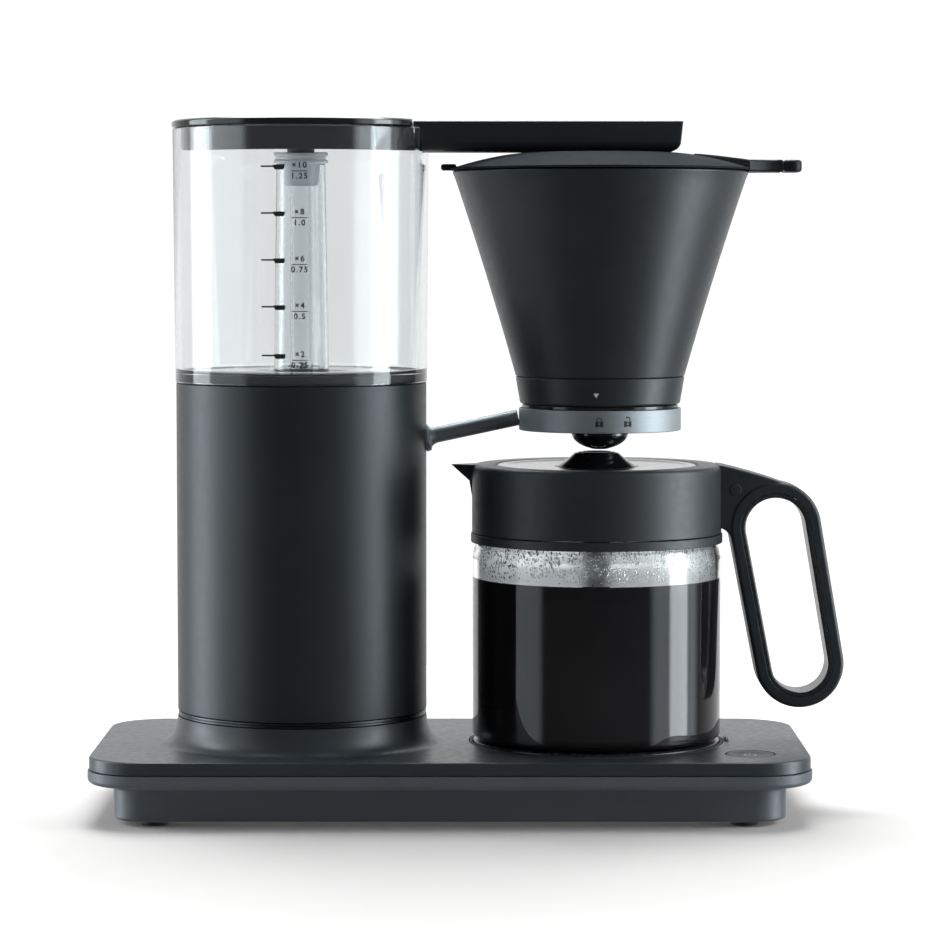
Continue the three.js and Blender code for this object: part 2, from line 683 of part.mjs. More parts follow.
// The lid: a shallow dome with a round dish for the shower head and a hole for the water.
function filterLid() {
  const profile = [[FILTER_LID.hole, FILTER_LID.dish - 2], [FILTER_LID.dishR, FILTER_LID.dish - 2]];
  const steps = 4;
  const outside = [];
  for (let i = 0; i <= steps; i++) {
    const t = i / steps;
    const r = FILTER_LID.dishR + (FILTER_LID.rim - 3 - FILTER_LID.dishR) * t;
    const z = FILTER_LID.dome - (FILTER_LID.dome - FILTER_LID.rimZ - 1.6) * t ** 1.6;
    outside.push([r, z]);
  }
  profile.push([FILTER_LID.rim - 6, FILTER_LID.rimZ], [FILTER_LID.rim, FILTER_LID.rimZ]);
  profile.push([FILTER_LID.rim, FILTER_LID.rimZ + 1.2], ...outside.reverse());
  profile.push([FILTER_LID.dishR, FILTER_LID.dish], [FILTER_LID.hole, FILTER_LID.dish]);
  const lip = block(-FILTER_LID.rim - 4.6, -60, -9, 9, FILTER_LID.rimZ, FILTER_LID.rimZ + FILTER_LID.lip);
  const inside = ring(FILTER_LID.rim - 3, 0, 320, 340);
  const side = new THREE.Shape();
  side.moveTo(FILTER_LID.tabStart, FILTER_LID.rimZ + 2);
  side.lineTo(FILTER_LID.tabStart, FILTER_LID.dome - 1.2);
  side.lineTo(FILTER_LID.rim - 1, HANDLE_TAB.top);
  side.lineTo(FILTER_LID.rim, HANDLE_TAB.top - 0.4);
  side.lineTo(FILTER_LID.rim, FILTER_LID.rimZ + 2);
  const tab = slab(side, HANDLE_TAB.half).intersect(ring(FILTER_LID.rim, 0, 320, 340));
  return join(turned(profile), cut(lip, inside), tab);
}

piece(atFilter, 'filter_cone', 'charcoal', filterCone());
piece(atFilter, 'filter_collar', 'charcoal', turned(collarProfile));
piece(atFilter, 'nozzle', 'gloss', nozzle());
piece(atFilter, 'filter_handle', 'charcoal', filterHandle());
piece(atFilter, 'handle_tip', 'rubber', handleTab(HANDLE_TAB.split, HANDLE_TAB.end, HANDLE_TAB.corner));
piece(atFilter, 'filter_lid', 'charcoal', filterLid());
piece(atFilter, 'drip_stop', 'gloss', turned(plunger, SMALL));
piece(atFilter, 'drip_spring', 'steel', coil(4.4, 0.5, 191.1, CONE.floor - GAP, 3));

// ---- tank ------------------------------------------------------------------------------------------

// The notch in the rim that the arm passes through, the same in the tank and in its lid.
function armNotch(room, z0, z1) {
  return block(30, 80, -ARM.half - room, ARM.half + room, z0, z1);
}

function tankShell() {
  const inner = TANK.r - TANK.wall;
  const shell = turned([
    [DOCK.r + GAP, TANK.bottom],
    [TANK.r, TANK.bottom],
    [TANK.rTop, TANK.top],
    [TANK.rTop - TANK.wall, TANK.top],
    [inner, TANK.floorTop],
    [TANK.column, TANK.floorTop],
    [TANK.columnTop, TANK.columnEnd],
    [TANK.columnTop - TANK.columnWall, TANK.columnEnd],
    [TANK.column - TANK.columnWall, TANK.floor],
    [DOCK.r + GAP, TANK.floor],
  ]);
  const stemHole = at(ring(VALVE.stemHole, 0, TANK.floor - 1, TANK.floorTop + 1, SMALL), VALVE.x, VALVE.y);
  const waterHoles = [0, 60, 120, 180, 240, 300].map((angle) => {
    const hole = at(ring(VALVE.waterHole, 0, TANK.floor - 1, TANK.floorTop + 1, TINY), VALVE.waterR);
    return at(hole.rotate([0, 0, angle]), VALVE.x, VALVE.y);
  });
  return cut(shell, armNotch(1.4, ARM.bottom - GAP, TANK.top + 1), stemHole, ...waterHoles);
}

// The soft cup in the column's mouth, which slips over the riser below and the arm's spigot above.
const columnSeal = [
  [RISER.r + GAP, 314.2],
  [9.2, 314.2],
  [9.8, TANK.columnEnd + GAP],
  [13.7, TANK.columnEnd + GAP],
  [13.7, 330.8],
  [7.4, 330.8],
  [7.4, 319.0],
  [RISER.r + GAP, 319.0],
];

// The valve's mushroom: a head that lies over the water holes, a stem through the floor and a foot for the
// spring. The dock's pin holds it 2 mm open.
const poppet = [
  [0, 213.8],
  [4.9, 213.8],
  [4.9, 214.8],
  [2.3, 214.8],
  [2.3, TANK.floorTop + 2.2],
  [VALVE.headR, TANK.floorTop + 2.2],
  [VALVE.headR, TANK.floorTop + 3.2],
  [3.0, TANK.floorTop + 4.2],
  [0, TANK.floorTop + 4.2],
];

// The cap of the tank: a flange on the rim and a skirt inside it, both cut flat where the arm comes out.
function tankLid() {
  const skirtIn = LID.skirtR - LID.skirtWall;
  const cap = turned([
    [0, LID.top - 2.2],
    [skirtIn, LID.top - 2.2],
    [skirtIn, LID.skirtEnd],
    [LID.skirtR, LID.skirtEnd],
    [LID.skirtR, TANK.top + GAP],
    [LID.r, TANK.top + GAP],
    [LID.r, LID.top - 0.9],
    [LID.r - 1.2, LID.top],
    [0, LID.top],
  ]);
  const beyond = block(LID.cut, 80, -80, 80, 330, 360);
  const tongueSlot = block(40, 70, -ARM.tongueHalf - 1, ARM.tongueHalf + 1, 330, ARM.tongueTop + 0.6);
  return cut(cap, beyond, tongueSlot);
}

piece(body, 'tank_shell', 'clear', tankShell());
piece(body, 'column_seal', 'silicone', turned(columnSeal, SMALL));
piece(body, 'valve_poppet', 'rubber', at(turned(poppet, SMALL), VALVE.x, VALVE.y));
piece(body, 'valve_spring', 'steel', at(coil(3.9, 0.4, 214.8 + GAP, TANK.floor - GAP, 3), VALVE.x, VALVE.y));
piece(body, 'tank_lid', 'gloss', tankLid());

// ---- outlet arm ------------------------------------------------------------------------------------

// The arm's section across Y: a flat top and rounded lower edges.
function armSection(half, bottom, top, edge) {
  const shape = new THREE.Shape();
  shape.moveTo(-half, top);
  shape.lineTo(-half, bottom + edge);
  shape.absarc(-half + edge, bottom + edge, edge, Math.PI, 1.5 * Math.PI);
  shape.lineTo(half - edge, bottom);
  shape.absarc(half - edge, bottom + edge, edge, 1.5 * Math.PI, 2 * Math.PI);
  shape.lineTo(half, top);
  return shape;
}

// A length of arm from x0 to x1.
function armLength(x0, x1, half, bottom, top, edge) {
  const options = { depth: x1 - x0, bevelEnabled: false, curveSegments: 4 };
  const along = new THREE.ExtrudeGeometry(armSection(half, bottom, top, edge), options);
  return solid(along.rotateX(Math.PI / 2).rotateZ(Math.PI / 2).translate(x0, 0, 0));
}

// The arm's shell is open below, and its tongue reaches under the tank lid to the riser.
function outletArm() {
  const side = new THREE.Shape();
  side.moveTo(ARM.start - 1, ARM.top + 1);
  side.lineTo(ARM.end, ARM.top + 1);
  side.lineTo(ARM.end, ARM.top);
  side.lineTo(ARM.end - ARM.endLean, ARM.bottom + ARM.endRound);
  side.quadraticCurveTo(ARM.end - ARM.endLean, ARM.bottom, ARM.end - ARM.endLean - ARM.endRound, ARM.bottom);
  side.lineTo(ARM.end - ARM.endLean - ARM.endRound, ARM.bottom - 1);
  side.lineTo(ARM.start - 1, ARM.bottom - 1);
  const straightArm = armLength(ARM.start, ARM.end, ARM.half, ARM.bottom, ARM.top, ARM.edge);
  const shell = straightArm.intersect(slab(side, ARM.half + 1, 4));
  const wide = ARM.tongueHalf;
  const tongue = block(ARM.tongueEnd, ARM.start + 4, -wide, wide, ARM.bottom, ARM.tongueTop);
  const inner = wide - 2;
  const channelEnd = ARM.end - ARM.endWall;
  const channel = block(ARM.tongueEnd + 2, channelEnd, -inner, inner, ARM.bottom - 1, ARM.tongueTop - 2);
  return cut(join(shell, tongue), channel);
}

// The closing strip below the channel, with the spigot that dips into the column seal.
function armUnderside() {
  const half = ARM.tongueHalf - 2 - GAP;
  const start = ARM.tongueEnd + 2 + GAP;
  const strip = block(start, ARM.end - ARM.endWall - GAP, -half, half, ARM.bottom, ARM.bottom + 1.6);
  const spigot = ring(6.9, 0, 326, ARM.bottom + 0.5, SMALL);
  const spigotBore = ring(4.8, 0, 325, ARM.bottom + 3, SMALL);
  const outletHole = at(ring(5, 0, ARM.bottom - 1, ARM.bottom + 3, SMALL), FILTER_X);
  return cut(join(strip, spigot), spigotBore, outletHole);
}

// The shower head below the outlet, with a ring of holes.
function showerHead() {
  const { r, bottom, top, holeR, holes, circle } = SHOWER;
  let head = turned([[0, bottom], [r - 1.2, bottom], [r, bottom + 1], [r, top], [0, top]], SMALL);
  for (let i = 0; i < holes; i++) {
    const angle = (i / holes) * 2 * Math.PI;
    const hole = ring(holeR, 0, bottom - 1, top + 1, 6);
    head = head.subtract(at(hole, circle * Math.cos(angle), circle * Math.sin(angle)));
  }
  return head;
}

piece(body, 'outlet_arm', 'charcoal', outletArm());
piece(body, 'arm_underside', 'charcoal', armUnderside());
piece(atFilter, 'shower_head', 'charcoal', showerHead());

// ---- jug -------------------------------------------------------------------------------------------

const glassProfile = [
  [0, JUG.bottom + 1.2],
  [54, JUG.bottom + 1.2],
  [57, JUG.bottom],
  [60.4, JUG.bottom],
  [JUG.r, JUG.bottom + 3],
  [JUG.r, JUG.shoulder - 5],
  [JUG.r - 1.5, JUG.shoulder],
  [JUG.neck, 141.5],
  [JUG.neck, JUG.neckTop],
  [JUG.neck - JUG.wall, JUG.neckTop],
  [JUG.neck - JUG.wall, 140.5],
  [JUG.r - JUG.wall - 1.2, JUG.shoulder - 1],
  [JUG.r - JUG.wall, JUG.shoulder - 6],
  [JUG.r - JUG.wall, JUG.bottom + 6],
  [JUG.r - JUG.wall - 2.4, JUG.bottom + 3.6],
  [0, JUG.bottom + 3.6],
];

// The collar: a wall, a rounded shoulder and a rim round the lid, with the pouring lip.
function jugCollar() {
  const r = JUG_COLLAR.r;
  const top = JUG_COLLAR.top;
  const edge = JUG_COLLAR.edge;
  const shoulder = [];
  for (let i = 0; i <= 4; i++) {
    const angle = (i / 4) * (Math.PI / 2);
    shoulder.push([r - edge * (1 - Math.cos(angle)), top - edge * (1 - Math.sin(angle))]);
  }
  const wall = turned([
    [r - JUG_COLLAR.wall, JUG_COLLAR.bottom],
    [r, JUG_COLLAR.bottom],
    ...shoulder,
    [JUG_COLLAR.inner, top],
    [JUG_COLLAR.inner, top - 4],
    [r - JUG_COLLAR.wall, top - 4.6],
  ]);
  const lipShape = (shrink) => {
    const shape = new THREE.Shape();
    shape.moveTo(-SPOUT.tip + shrink, 0);
    shape.lineTo(-52, -SPOUT.half + shrink * 0.6);
    shape.lineTo(-52, SPOUT.half - shrink * 0.6);
    return shape;
  };
  const wedge = raised(lipShape(0), SPOUT.root - 2, top);
  const below = new THREE.Shape();
  below.moveTo(-SPOUT.tip - 4, SPOUT.tipZ - 1.4 - 4 * 0.75);
  below.lineTo(-SPOUT.tip, SPOUT.tipZ - 1.4);
  below.lineTo(-r, SPOUT.root);
  below.lineTo(-r, 150);
  below.lineTo(-SPOUT.tip - 4, 150);
  const lip = cut(wedge, slab(below, 40), ring(r - JUG_COLLAR.wall, 0, 150, 180));
  const channel = raised(lipShape(4), top - 3.2, top + 1);
  return join(cut(join(wall, lip), cut(channel, ring(JUG_COLLAR.inner, 0, 150, 180))));
}

const bandProfile = [
  [60.0, 140.0],
  [JUG.r + 0.6, BAND.bottom],
  [BAND.r + 0.6, BAND.bottom],
  [BAND.r + 0.6, BAND.top],
  [60.0, BAND.top],
];

// The outline round both ends of the handle's loop, moved out by the given amount.
function loopOutline(out) {
  const top = new THREE.Vector2(LOOP.topX, LOOP.topZ);
  const low = new THREE.Vector2(LOOP.lowX, LOOP.lowZ);
  const along = low.clone().sub(top);
  const topR = LOOP.topR + out;
  const lowR = LOOP.lowR + out;
  const lean = along.angle();
  const tilt = Math.acos((topR - lowR) / along.length());
  const shape = new THREE.Shape();
  shape.absarc(top.x, top.y, topR, lean + tilt, lean - tilt + 2 * Math.PI);
  shape.absarc(low.x, low.y, lowR, lean - tilt, lean + tilt);
  return shape;
}

// The handle: the loop with its hole, and the block that holds it to the collar.
function jugHandle() {
  const loop = slab(loopOutline(0), LOOP.half, 7);
  const hole = slab(loopOutline(-LOOP.leg + LOOP.liner + GAP), LOOP.half + 1, 7);
  const arm = new THREE.Shape();
  arm.moveTo(55, 176.0);
  arm.lineTo(62.5, 176.0);
  arm.lineTo(LOOP.topX + 5.6, LOOP.topZ + LOOP.topR - 0.8);
  arm.lineTo(LOOP.topX, LOOP.topZ);
  arm.lineTo(LOOP.topX - 21.5, 137.5);
  arm.quadraticCurveTo(66.6, 143.4, 63.6, 143.6);
  arm.lineTo(55, 143.6);
  const inside = cut(ring(JUG_COLLAR.r + GAP, 0, 100, 190), block(70, 90, -20, 20, 100, 190));
  const screwRoom = discOutline(JUG_SCREW.x, JUG_SCREW.z, JUG_SCREW.r + GAP);
  const screwHole = slab(screwRoom, LOOP.half + 1, 4).intersect(block(60, 80, -20, -8, 150, 175));
  return cut(join(loop, slab(arm, LOOP.half)), hole, inside, screwHole);
}

function discOutline(x, z, r) {
  return new THREE.Shape().absarc(x, z, r, 0, 2 * Math.PI);
}

function handleLiner() {
  const outer = slab(loopOutline(-LOOP.leg + LOOP.liner), LOOP.half - 0.5, 7);
  return cut(outer, slab(loopOutline(-LOOP.leg), LOOP.half, 7));
}

function screwCap() {
  const disc = slab(discOutline(JUG_SCREW.x, JUG_SCREW.z, JUG_SCREW.r), 1.6, 4);
  return disc.translate(0, -LOOP.half + 1.7, 0);
}

// The lid: a disc in the collar with a hollow cone boss that catches the coffee.
const jugLidProfile = [
  [9.2, JUG_LID.z - 3],
  [JUG_LID.r - 2, JUG_LID.z - 3],
  [JUG_LID.r, JUG_LID.z - 1.4],
  [JUG_LID.r, JUG_LID.z + 0.6],
  [JUG_LID.r - 0.8, JUG_LID.z + 1.2],
  [JUG_LID.bossR, JUG_LID.z + 0.2],
  [JUG_LID.shoulderR + 3.4, JUG_LID.shoulderZ - 2.4],
  [JUG_LID.shoulderR, JUG_LID.shoulderZ],
  [8.9, JUG_LID.topZ],
  [7.4, JUG_LID.topZ],
  [7.4, 175],
];

piece(atJug, 'jug_glass', 'glass', turned(glassProfile));
piece(atJug, 'jug_band', 'charcoal', turned(bandProfile));
piece(atJug, 'jug_collar', 'charcoal', jugCollar());
piece(atJug, 'jug_handle', 'charcoal', jugHandle());
piece(atJug, 'handle_liner', 'rubber', handleLiner());
piece(atJug, 'handle_screw_cap', 'charcoal', screwCap());
piece(atJug, 'jug_lid', 'charcoal', turned(jugLidProfile));
piece(atJug, 'mixing_tube', 'charcoal', ring(MIXER.r, MIXER.bore, MIXER.bottom, 174.6, SMALL));

export default group;
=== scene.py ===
import json
import math

import bmesh
import bpy
import numpy as np
from mathutils import Matrix, Vector


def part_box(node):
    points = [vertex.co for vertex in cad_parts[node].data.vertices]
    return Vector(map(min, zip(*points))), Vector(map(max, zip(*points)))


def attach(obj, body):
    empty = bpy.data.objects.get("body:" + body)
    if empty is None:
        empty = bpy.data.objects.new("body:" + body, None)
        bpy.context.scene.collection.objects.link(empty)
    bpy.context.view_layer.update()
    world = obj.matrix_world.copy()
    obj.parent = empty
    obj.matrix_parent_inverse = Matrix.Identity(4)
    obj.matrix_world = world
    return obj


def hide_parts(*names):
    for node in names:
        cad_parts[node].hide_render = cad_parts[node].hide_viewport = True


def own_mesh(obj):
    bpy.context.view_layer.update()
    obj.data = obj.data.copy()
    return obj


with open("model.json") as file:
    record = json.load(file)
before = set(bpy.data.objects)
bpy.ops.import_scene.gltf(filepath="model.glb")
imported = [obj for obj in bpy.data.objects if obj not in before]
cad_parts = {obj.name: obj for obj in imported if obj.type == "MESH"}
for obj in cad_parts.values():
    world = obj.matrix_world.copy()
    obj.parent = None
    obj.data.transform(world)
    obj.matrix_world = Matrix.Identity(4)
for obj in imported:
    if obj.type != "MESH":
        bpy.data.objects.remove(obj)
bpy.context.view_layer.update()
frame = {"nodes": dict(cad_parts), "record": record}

# ---- sizes and places ------------------------------------------------------------------------------
# Lengths are millimetres, except for the floor, the lamps and the camera, which are in metres.
# A profile is a list of (radius, height, rounding) from a piece's own axis.

MM = 0.001
# How many sides a turned piece has, by its size.
ROUND = 160
MEDIUM = 96
SMALL = 64
TINY = 48
SCREW = 32
ARC_STEP = math.radians(12)
SMOOTH_ANGLE = math.radians(38)


def middle(node):
    """The upright axis through the middle of a CAD node."""
    low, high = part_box(node)
    return (low.x + high.x) / 2 / MM, (low.y + high.y) / 2 / MM


TOWER = middle("tower_sleeve")
FILTER = middle("holder_ring")
JUG = middle("jug_lid")
BUTTON = middle("power_button")
VALVE = middle("valve_poppet")


def span(node, axis):
    """Where a CAD node begins and ends along an axis."""
    low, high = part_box(node)
    return low[axis] / MM, high[axis] / MM


# ---- meshes ----------------------------------------------------------------------------------------


def placed(name, data):
    """An object of the scene that holds this mesh, curve, lamp or lens."""
    thing = bpy.data.objects.new(name, data)
    bpy.context.scene.collection.objects.link(thing)
    return thing


def evaluated(thing):
    """The thing's mesh with its modifiers applied."""
    bpy.context.view_layer.update()
    graph = bpy.context.evaluated_depsgraph_get()
    return bpy.data.meshes.new_from_object(thing.evaluated_get(graph), depsgraph=graph)


def mesh_of(name, bm):
    mesh = bpy.data.meshes.new(name)
    bm.to_mesh(mesh)
    bm.free()
    return mesh


def corner(before, here, after, radius):
    """The arc that rounds one corner of an outline, as points."""
    a, b = before - here, after - here
    if radius <= 0 or a.length < 1e-9 or b.length < 1e-9:
        return [here]
    half = a.angle(b) / 2
    if half > math.radians(89) or half < math.radians(2):
        return [here]
    reach = min(radius / math.tan(half), a.length * 0.49, b.length * 0.49)
    radius = reach * math.tan(half)
    centre = here + (a.normalized() + b.normalized()).normalized() * (radius / math.sin(half))
    start, end = here + a.normalized() * reach - centre, here + b.normalized() * reach - centre
    turn = math.pi - 2 * half
    steps = max(2, math.ceil(turn / ARC_STEP))
    side = 1 if start.x * end.y - start.y * end.x > 0 else -1
    points = []
    for i in range(steps + 1):
        angle = side * turn * i / steps
        c, s = math.cos(angle), math.sin(angle)
        points.append(centre + Vector((start.x * c - start.y * s, start.x * s + start.y * c)))
    return points


def rounded(points, closed=True):
    """The outline through the points, with each corner rounded by its third number."""
    flat = [Vector(p[:2]) for p in points]
    out = []
    for i, p in enumerate(points):
        radius = p[2] if len(p) > 2 else 0
        if not closed and i in (0, len(points) - 1):
            radius = 0
        out += corner(flat[i - 1], flat[i], flat[(i + 1) % len(flat)], radius)
    return out


def plain_mesh(name, points, faces):
    """A mesh from points in millimetres, not yet shaded."""
    mesh = bpy.data.meshes.new(name)
    mesh.from_pydata([tuple(c * MM for c in p) for p in points], [], faces)
    return mesh


def make_mesh(name, points, faces):
    mesh = plain_mesh(name, points, faces)
    finish_mesh(mesh)
    return mesh


def finish_mesh(mesh):
    """Merges double points, turns the faces outward and shades the mesh smooth up to its sharp edges."""
    bm = bmesh.new()
    bm.from_mesh(mesh)
    bmesh.ops.remove_doubles(bm, verts=bm.verts, dist=0.002 * MM)
    bmesh.ops.dissolve_degenerate(bm, edges=bm.edges, dist=0.001 * MM)
    bmesh.ops.recalc_face_normals(bm, faces=bm.faces)
    bm.to_mesh(mesh)
    bm.free()
    mesh.shade_smooth()
    mesh.set_sharp_from_angle(angle=SMOOTH_ANGLE)


def bridge(rings, closed_up):
    """Faces between rings of vertex numbers. A ring of one vertex is a pole."""
    faces = []
    pairs = list(zip(rings, rings[1:]))
    if closed_up:
        pairs.append((rings[-1], rings[0]))
    for a, b in pairs:
        n = max(len(a), len(b))
        for i in range(n):
            j = (i + 1) % n
            if len(a) == 1 and len(b) > 1:
                faces.append((a[0], b[j], b[i]))
            elif len(b) == 1 and len(a) > 1:
                faces.append((a[i], a[j], b[0]))
            elif len(a) > 1:
                faces.append((a[i], a[j], b[j], b[i]))
    return faces


def skin(loops, closed_up=False):
    """Points and faces of a skin through loops of points. A loop of one point is a pole."""
    points, rings = [], []
    for loop in loops:
        rings.append(range(len(points), len(points) + len(loop)))
        points += loop
    return points, bridge(rings, closed_up)


def turned(name, axis, profile, sides=ROUND, shape=None):
    """A body of revolution. shape(angle, r, z) may move a point, and angle 0 faces the front."""
    on_axis = profile[0][0] == 0 and profile[-1][0] == 0
    outline = rounded(profile, closed=not on_axis)
    loops = []
    for p in outline:
        loops.append([])
        for i in range(1 if p.x < 1e-6 else sides):
            angle = 2 * math.pi * i / sides
            r, z = shape(angle, p.x, p.y) if shape else (p.x, p.y)
            loops[-1].append((axis[0] + r * math.sin(angle), axis[1] - r * math.cos(angle), z))
    return make_mesh(name, *skin(loops, not on_axis))


def plate(name, outlines, thick, edge=0.0, steps=3):
    """Flat outlines, the first with holes from the others, made thick about z = 0 with rounded edges."""
    curve = bpy.data.curves.new(name, "CURVE")
    curve.dimensions = "2D"
    curve.fill_mode = "BOTH"
    curve.extrude = (thick / 2 - edge) * MM
    curve.bevel_depth = edge * MM
    curve.bevel_resolution = steps
    curve.offset = -edge * MM
    for outline in outlines:
        spline = curve.splines.new("POLY")
        spline.points.add(len(outline) - 1)
        for point, p in zip(spline.points, outline):
            point.co = (p[0] * MM, p[1] * MM, 0, 1)
        spline.use_cyclic_u = True
    return from_curve(name, curve)


def from_curve(name, curve):
    holder = placed(name, curve)
    mesh = evaluated(holder)
    bpy.data.objects.remove(holder)
    bpy.data.curves.remove(curve)
    finish_mesh(mesh)
    return mesh


def upright(mesh):
    """Turns a plate that lies in X and Y so that its outline is in X and Z."""
    mesh.transform(Matrix.Rotation(math.pi / 2, 4, "X"))
    return mesh


def arc(cx, cy, r, start, end, steps):
    """Points of an arc between two angles in degrees."""
    turns = [math.radians(start + (end - start) * i / steps) for i in range(steps + 1)]
    return [(cx + r * math.cos(a), cy + r * math.sin(a)) for a in turns]


def swept(name, path, radius, sides):
    """A round bar along a path of points."""
    path = [Vector(p) for p in path]
    normal = Vector((0.013, 0.021, 1)).normalized()
    loops = [[tuple(path[0])]]
    for i, p in enumerate(path):
        ahead = (path[min(i + 1, len(path) - 1)] - path[max(i - 1, 0)]).normalized()
        normal = (normal - ahead * normal.dot(ahead)).normalized()
        across = ahead.cross(normal)
        turns = [2 * math.pi * k / sides for k in range(sides)]
        loops.append([tuple(p + radius * (normal * math.cos(a) + across * math.sin(a))) for a in turns])
    return make_mesh(name, *skin([*loops, [tuple(path[-1])]]))


def helix(name, axis, r, wire, low, high, turns=3):
    """A coil spring of round wire between two heights."""
    steps = turns * 28
    path = []
    for i in range(steps + 1):
        a = 2 * math.pi * turns * i / steps
        z = low + wire + (high - low - 2 * wire) * i / steps
        path.append((axis[0] + r * math.cos(a), axis[1] + r * math.sin(a), z))
    return swept(name, path, wire, 8)


def moved(mesh, x=0.0, y=0.0, z=0.0):
    mesh.transform(Matrix.Translation((x * MM, y * MM, z * MM)))
    return mesh


def joined(name, meshes):
    bm = bmesh.new()
    for mesh in meshes:
        bm.from_mesh(mesh)
        bpy.data.meshes.remove(mesh)
    return mesh_of(name, bm)


def wrapped(mesh, axis, radius, z0=0.0, lean=0.0):
    """Bends a flat mesh round an upright axis. Its Z becomes the height off the surface."""
    for v in mesh.vertices:
        r = radius + lean * v.co.y / MM
        angle = v.co.x / MM / radius
        r += v.co.z / MM
        z = z0 + v.co.y / MM
        v.co = Vector((axis[0] + r * math.sin(angle), axis[1] - r * math.cos(angle), z)) * MM
    return mesh


def carve(mesh, cutters):
    """Takes boxes (low corner, high corner) away from a mesh."""
    target = placed("carved", mesh)
    tools = []
    for low, high in cutters:
        bm = bmesh.new()
        size = Vector(high) - Vector(low)
        centre = (Vector(high) + Vector(low)) / 2
        place = Matrix.Translation(centre * MM) @ Matrix.Diagonal((*(size * MM), 1))
        bmesh.ops.create_cube(bm, size=1, matrix=place)
        tools.append(placed("cutter", mesh_of("cutter", bm)))
        step = target.modifiers.new("cut", "BOOLEAN")
        step.object = tools[-1]
        step.operation = "DIFFERENCE"
        step.solver = "EXACT"
    carved = evaluated(target)
    for thing in [target, *tools]:
        bpy.data.objects.remove(thing)
    carved.shade_smooth()
    carved.set_sharp_from_angle(angle=SMOOTH_ANGLE)
    return carved


# ---- materials -------------------------------------------------------------------------------------


class Nodes:
    """A node tree, with short ways to add nodes and links."""

    def __init__(self, tree):
        self.tree = tree

    def node(self, kind, **values):
        made = self.tree.nodes.new(kind)
        for key, value in values.items():
            setattr(made, key, value)
        return made

    def link(self, source, target):
        self.tree.links.new(source, target)

    def span(self, source, low, high, start=0.3, end=0.7, **values):
        """The source's range from start to end, mapped to low and high."""
        made = self.node("ShaderNodeMapRange", **values)
        for key, value in (("From Min", start), ("From Max", end), ("To Min", low), ("To Max", high)):
            made.inputs[key].default_value = value
        self.link(source, made.inputs["Value"])
        return made.outputs["Result"]


class Finish(Nodes):
    """A Principled material whose detail comes from nodes in the part's own coordinates."""

    def __init__(self, name):
        self.material = bpy.data.materials.new(name)
        self.material.use_nodes = True
        super().__init__(self.material.node_tree)
        self.shader = self.tree.nodes["Principled BSDF"]
        self.place = self.node("ShaderNodeTexCoord").outputs["Object"]

    def set(self, **values):
        for key, value in values.items():
            self.shader.inputs[key.replace("_", " ")].default_value = value

    def texture(self, kind, stretch, **values):
        mapping = self.node("ShaderNodeMapping")
        mapping.inputs["Scale"].default_value = stretch
        self.link(self.place, mapping.inputs["Vector"])
        made = self.node(kind)
        for key, value in values.items():
            made.inputs[key].default_value = value
        self.link(mapping.outputs["Vector"], made.inputs["Vector"])
        return made

    def noise(self, scale, detail=3.0, rough=0.55, stretch=(1, 1, 1)):
        made = self.texture("ShaderNodeTexNoise", stretch, Scale=scale, Detail=detail, Roughness=rough)
        return made.outputs["Fac"]

    def cells(self, scale):
        made = self.texture("ShaderNodeTexVoronoi", (1, 1, 1), Scale=scale)
        made.feature = "SMOOTH_F1"
        return made.outputs["Distance"]

    def colours(self, source, first, second):
        made = self.node("ShaderNodeMix", data_type="RGBA")
        self.link(self.span(source, 0, 1), made.inputs["Factor"])
        made.inputs["A"].default_value = (*first, 1)
        made.inputs["B"].default_value = (*second, 1)
        self.link(made.outputs["Result"], self.shader.inputs["Base Color"])

    def rough(self, source, low, high):
        self.link(self.span(source, low, high), self.shader.inputs["Roughness"])

    def bump(self, source, distance, strength=1.0):
        made = self.node("ShaderNodeBump")
        made.inputs["Strength"].default_value = strength
        made.inputs["Distance"].default_value = distance
        self.link(source, made.inputs["Height"])
        self.link(made.outputs["Normal"], self.shader.inputs["Normal"])

    def lets_light_through(self, tint=(1, 1, 1)):
        """Lamps reach what is behind this material."""
        path = self.node("ShaderNodeLightPath")
        clear = self.node("ShaderNodeBsdfTransparent")
        clear.inputs["Color"].default_value = (*tint, 1)
        mix = self.node("ShaderNodeMixShader")
        self.link(path.outputs["Is Shadow Ray"], mix.inputs["Fac"])
        self.link(self.shader.outputs["BSDF"], mix.inputs[1])
        self.link(clear.outputs["BSDF"], mix.inputs[2])
        self.link(mix.outputs["Shader"], self.tree.nodes["Material Output"].inputs["Surface"])


# Every finish has a darker and a lighter colour, a roughness, and where it matters the scale and the depth
# in metres of its grain.


def moulded(name, dark, light, rough, grain=2600, depth=0.000012, level=0.5):
    """Moulded plastic: a fine spark-eroded grain, a slow drift in shade and gloss."""
    f = Finish(name)
    f.colours(f.noise(38, 4), dark, light)
    f.rough(f.noise(260, 3), rough - 0.04, rough + 0.05)
    f.bump(f.noise(grain, 2, 0.6), depth)
    f.set(Specular_IOR_Level=level)
    return f.material


def glossy(name, dark, light, rough):
    f = Finish(name)
    f.colours(f.noise(30, 3), dark, light)
    f.rough(f.noise(420, 4), rough, rough + 0.05)
    f.bump(f.noise(55, 2), 0.00003, 0.25)
    f.set(Specular_IOR_Level=0.55)
    return f.material


def brushed(name, dark, light, rough, stretch, metal=1.0):
    f = Finish(name)
    lines = f.noise(160, 6, 0.7, stretch)
    f.colours(lines, dark, light)
    f.rough(lines, rough - 0.06, rough + 0.08)
    f.bump(lines, 0.000012, 0.6)
    f.set(Metallic=metal)
    return f.material


def cast(name, dark, light, rough, scale=500, depth=0.00004, metal=1.0):
    f = Finish(name)
    f.colours(f.noise(90, 5), dark, light)
    f.rough(f.noise(300, 3), rough - 0.05, rough + 0.08)
    f.bump(f.noise(scale, 4), depth)
    f.set(Metallic=metal)
    return f.material


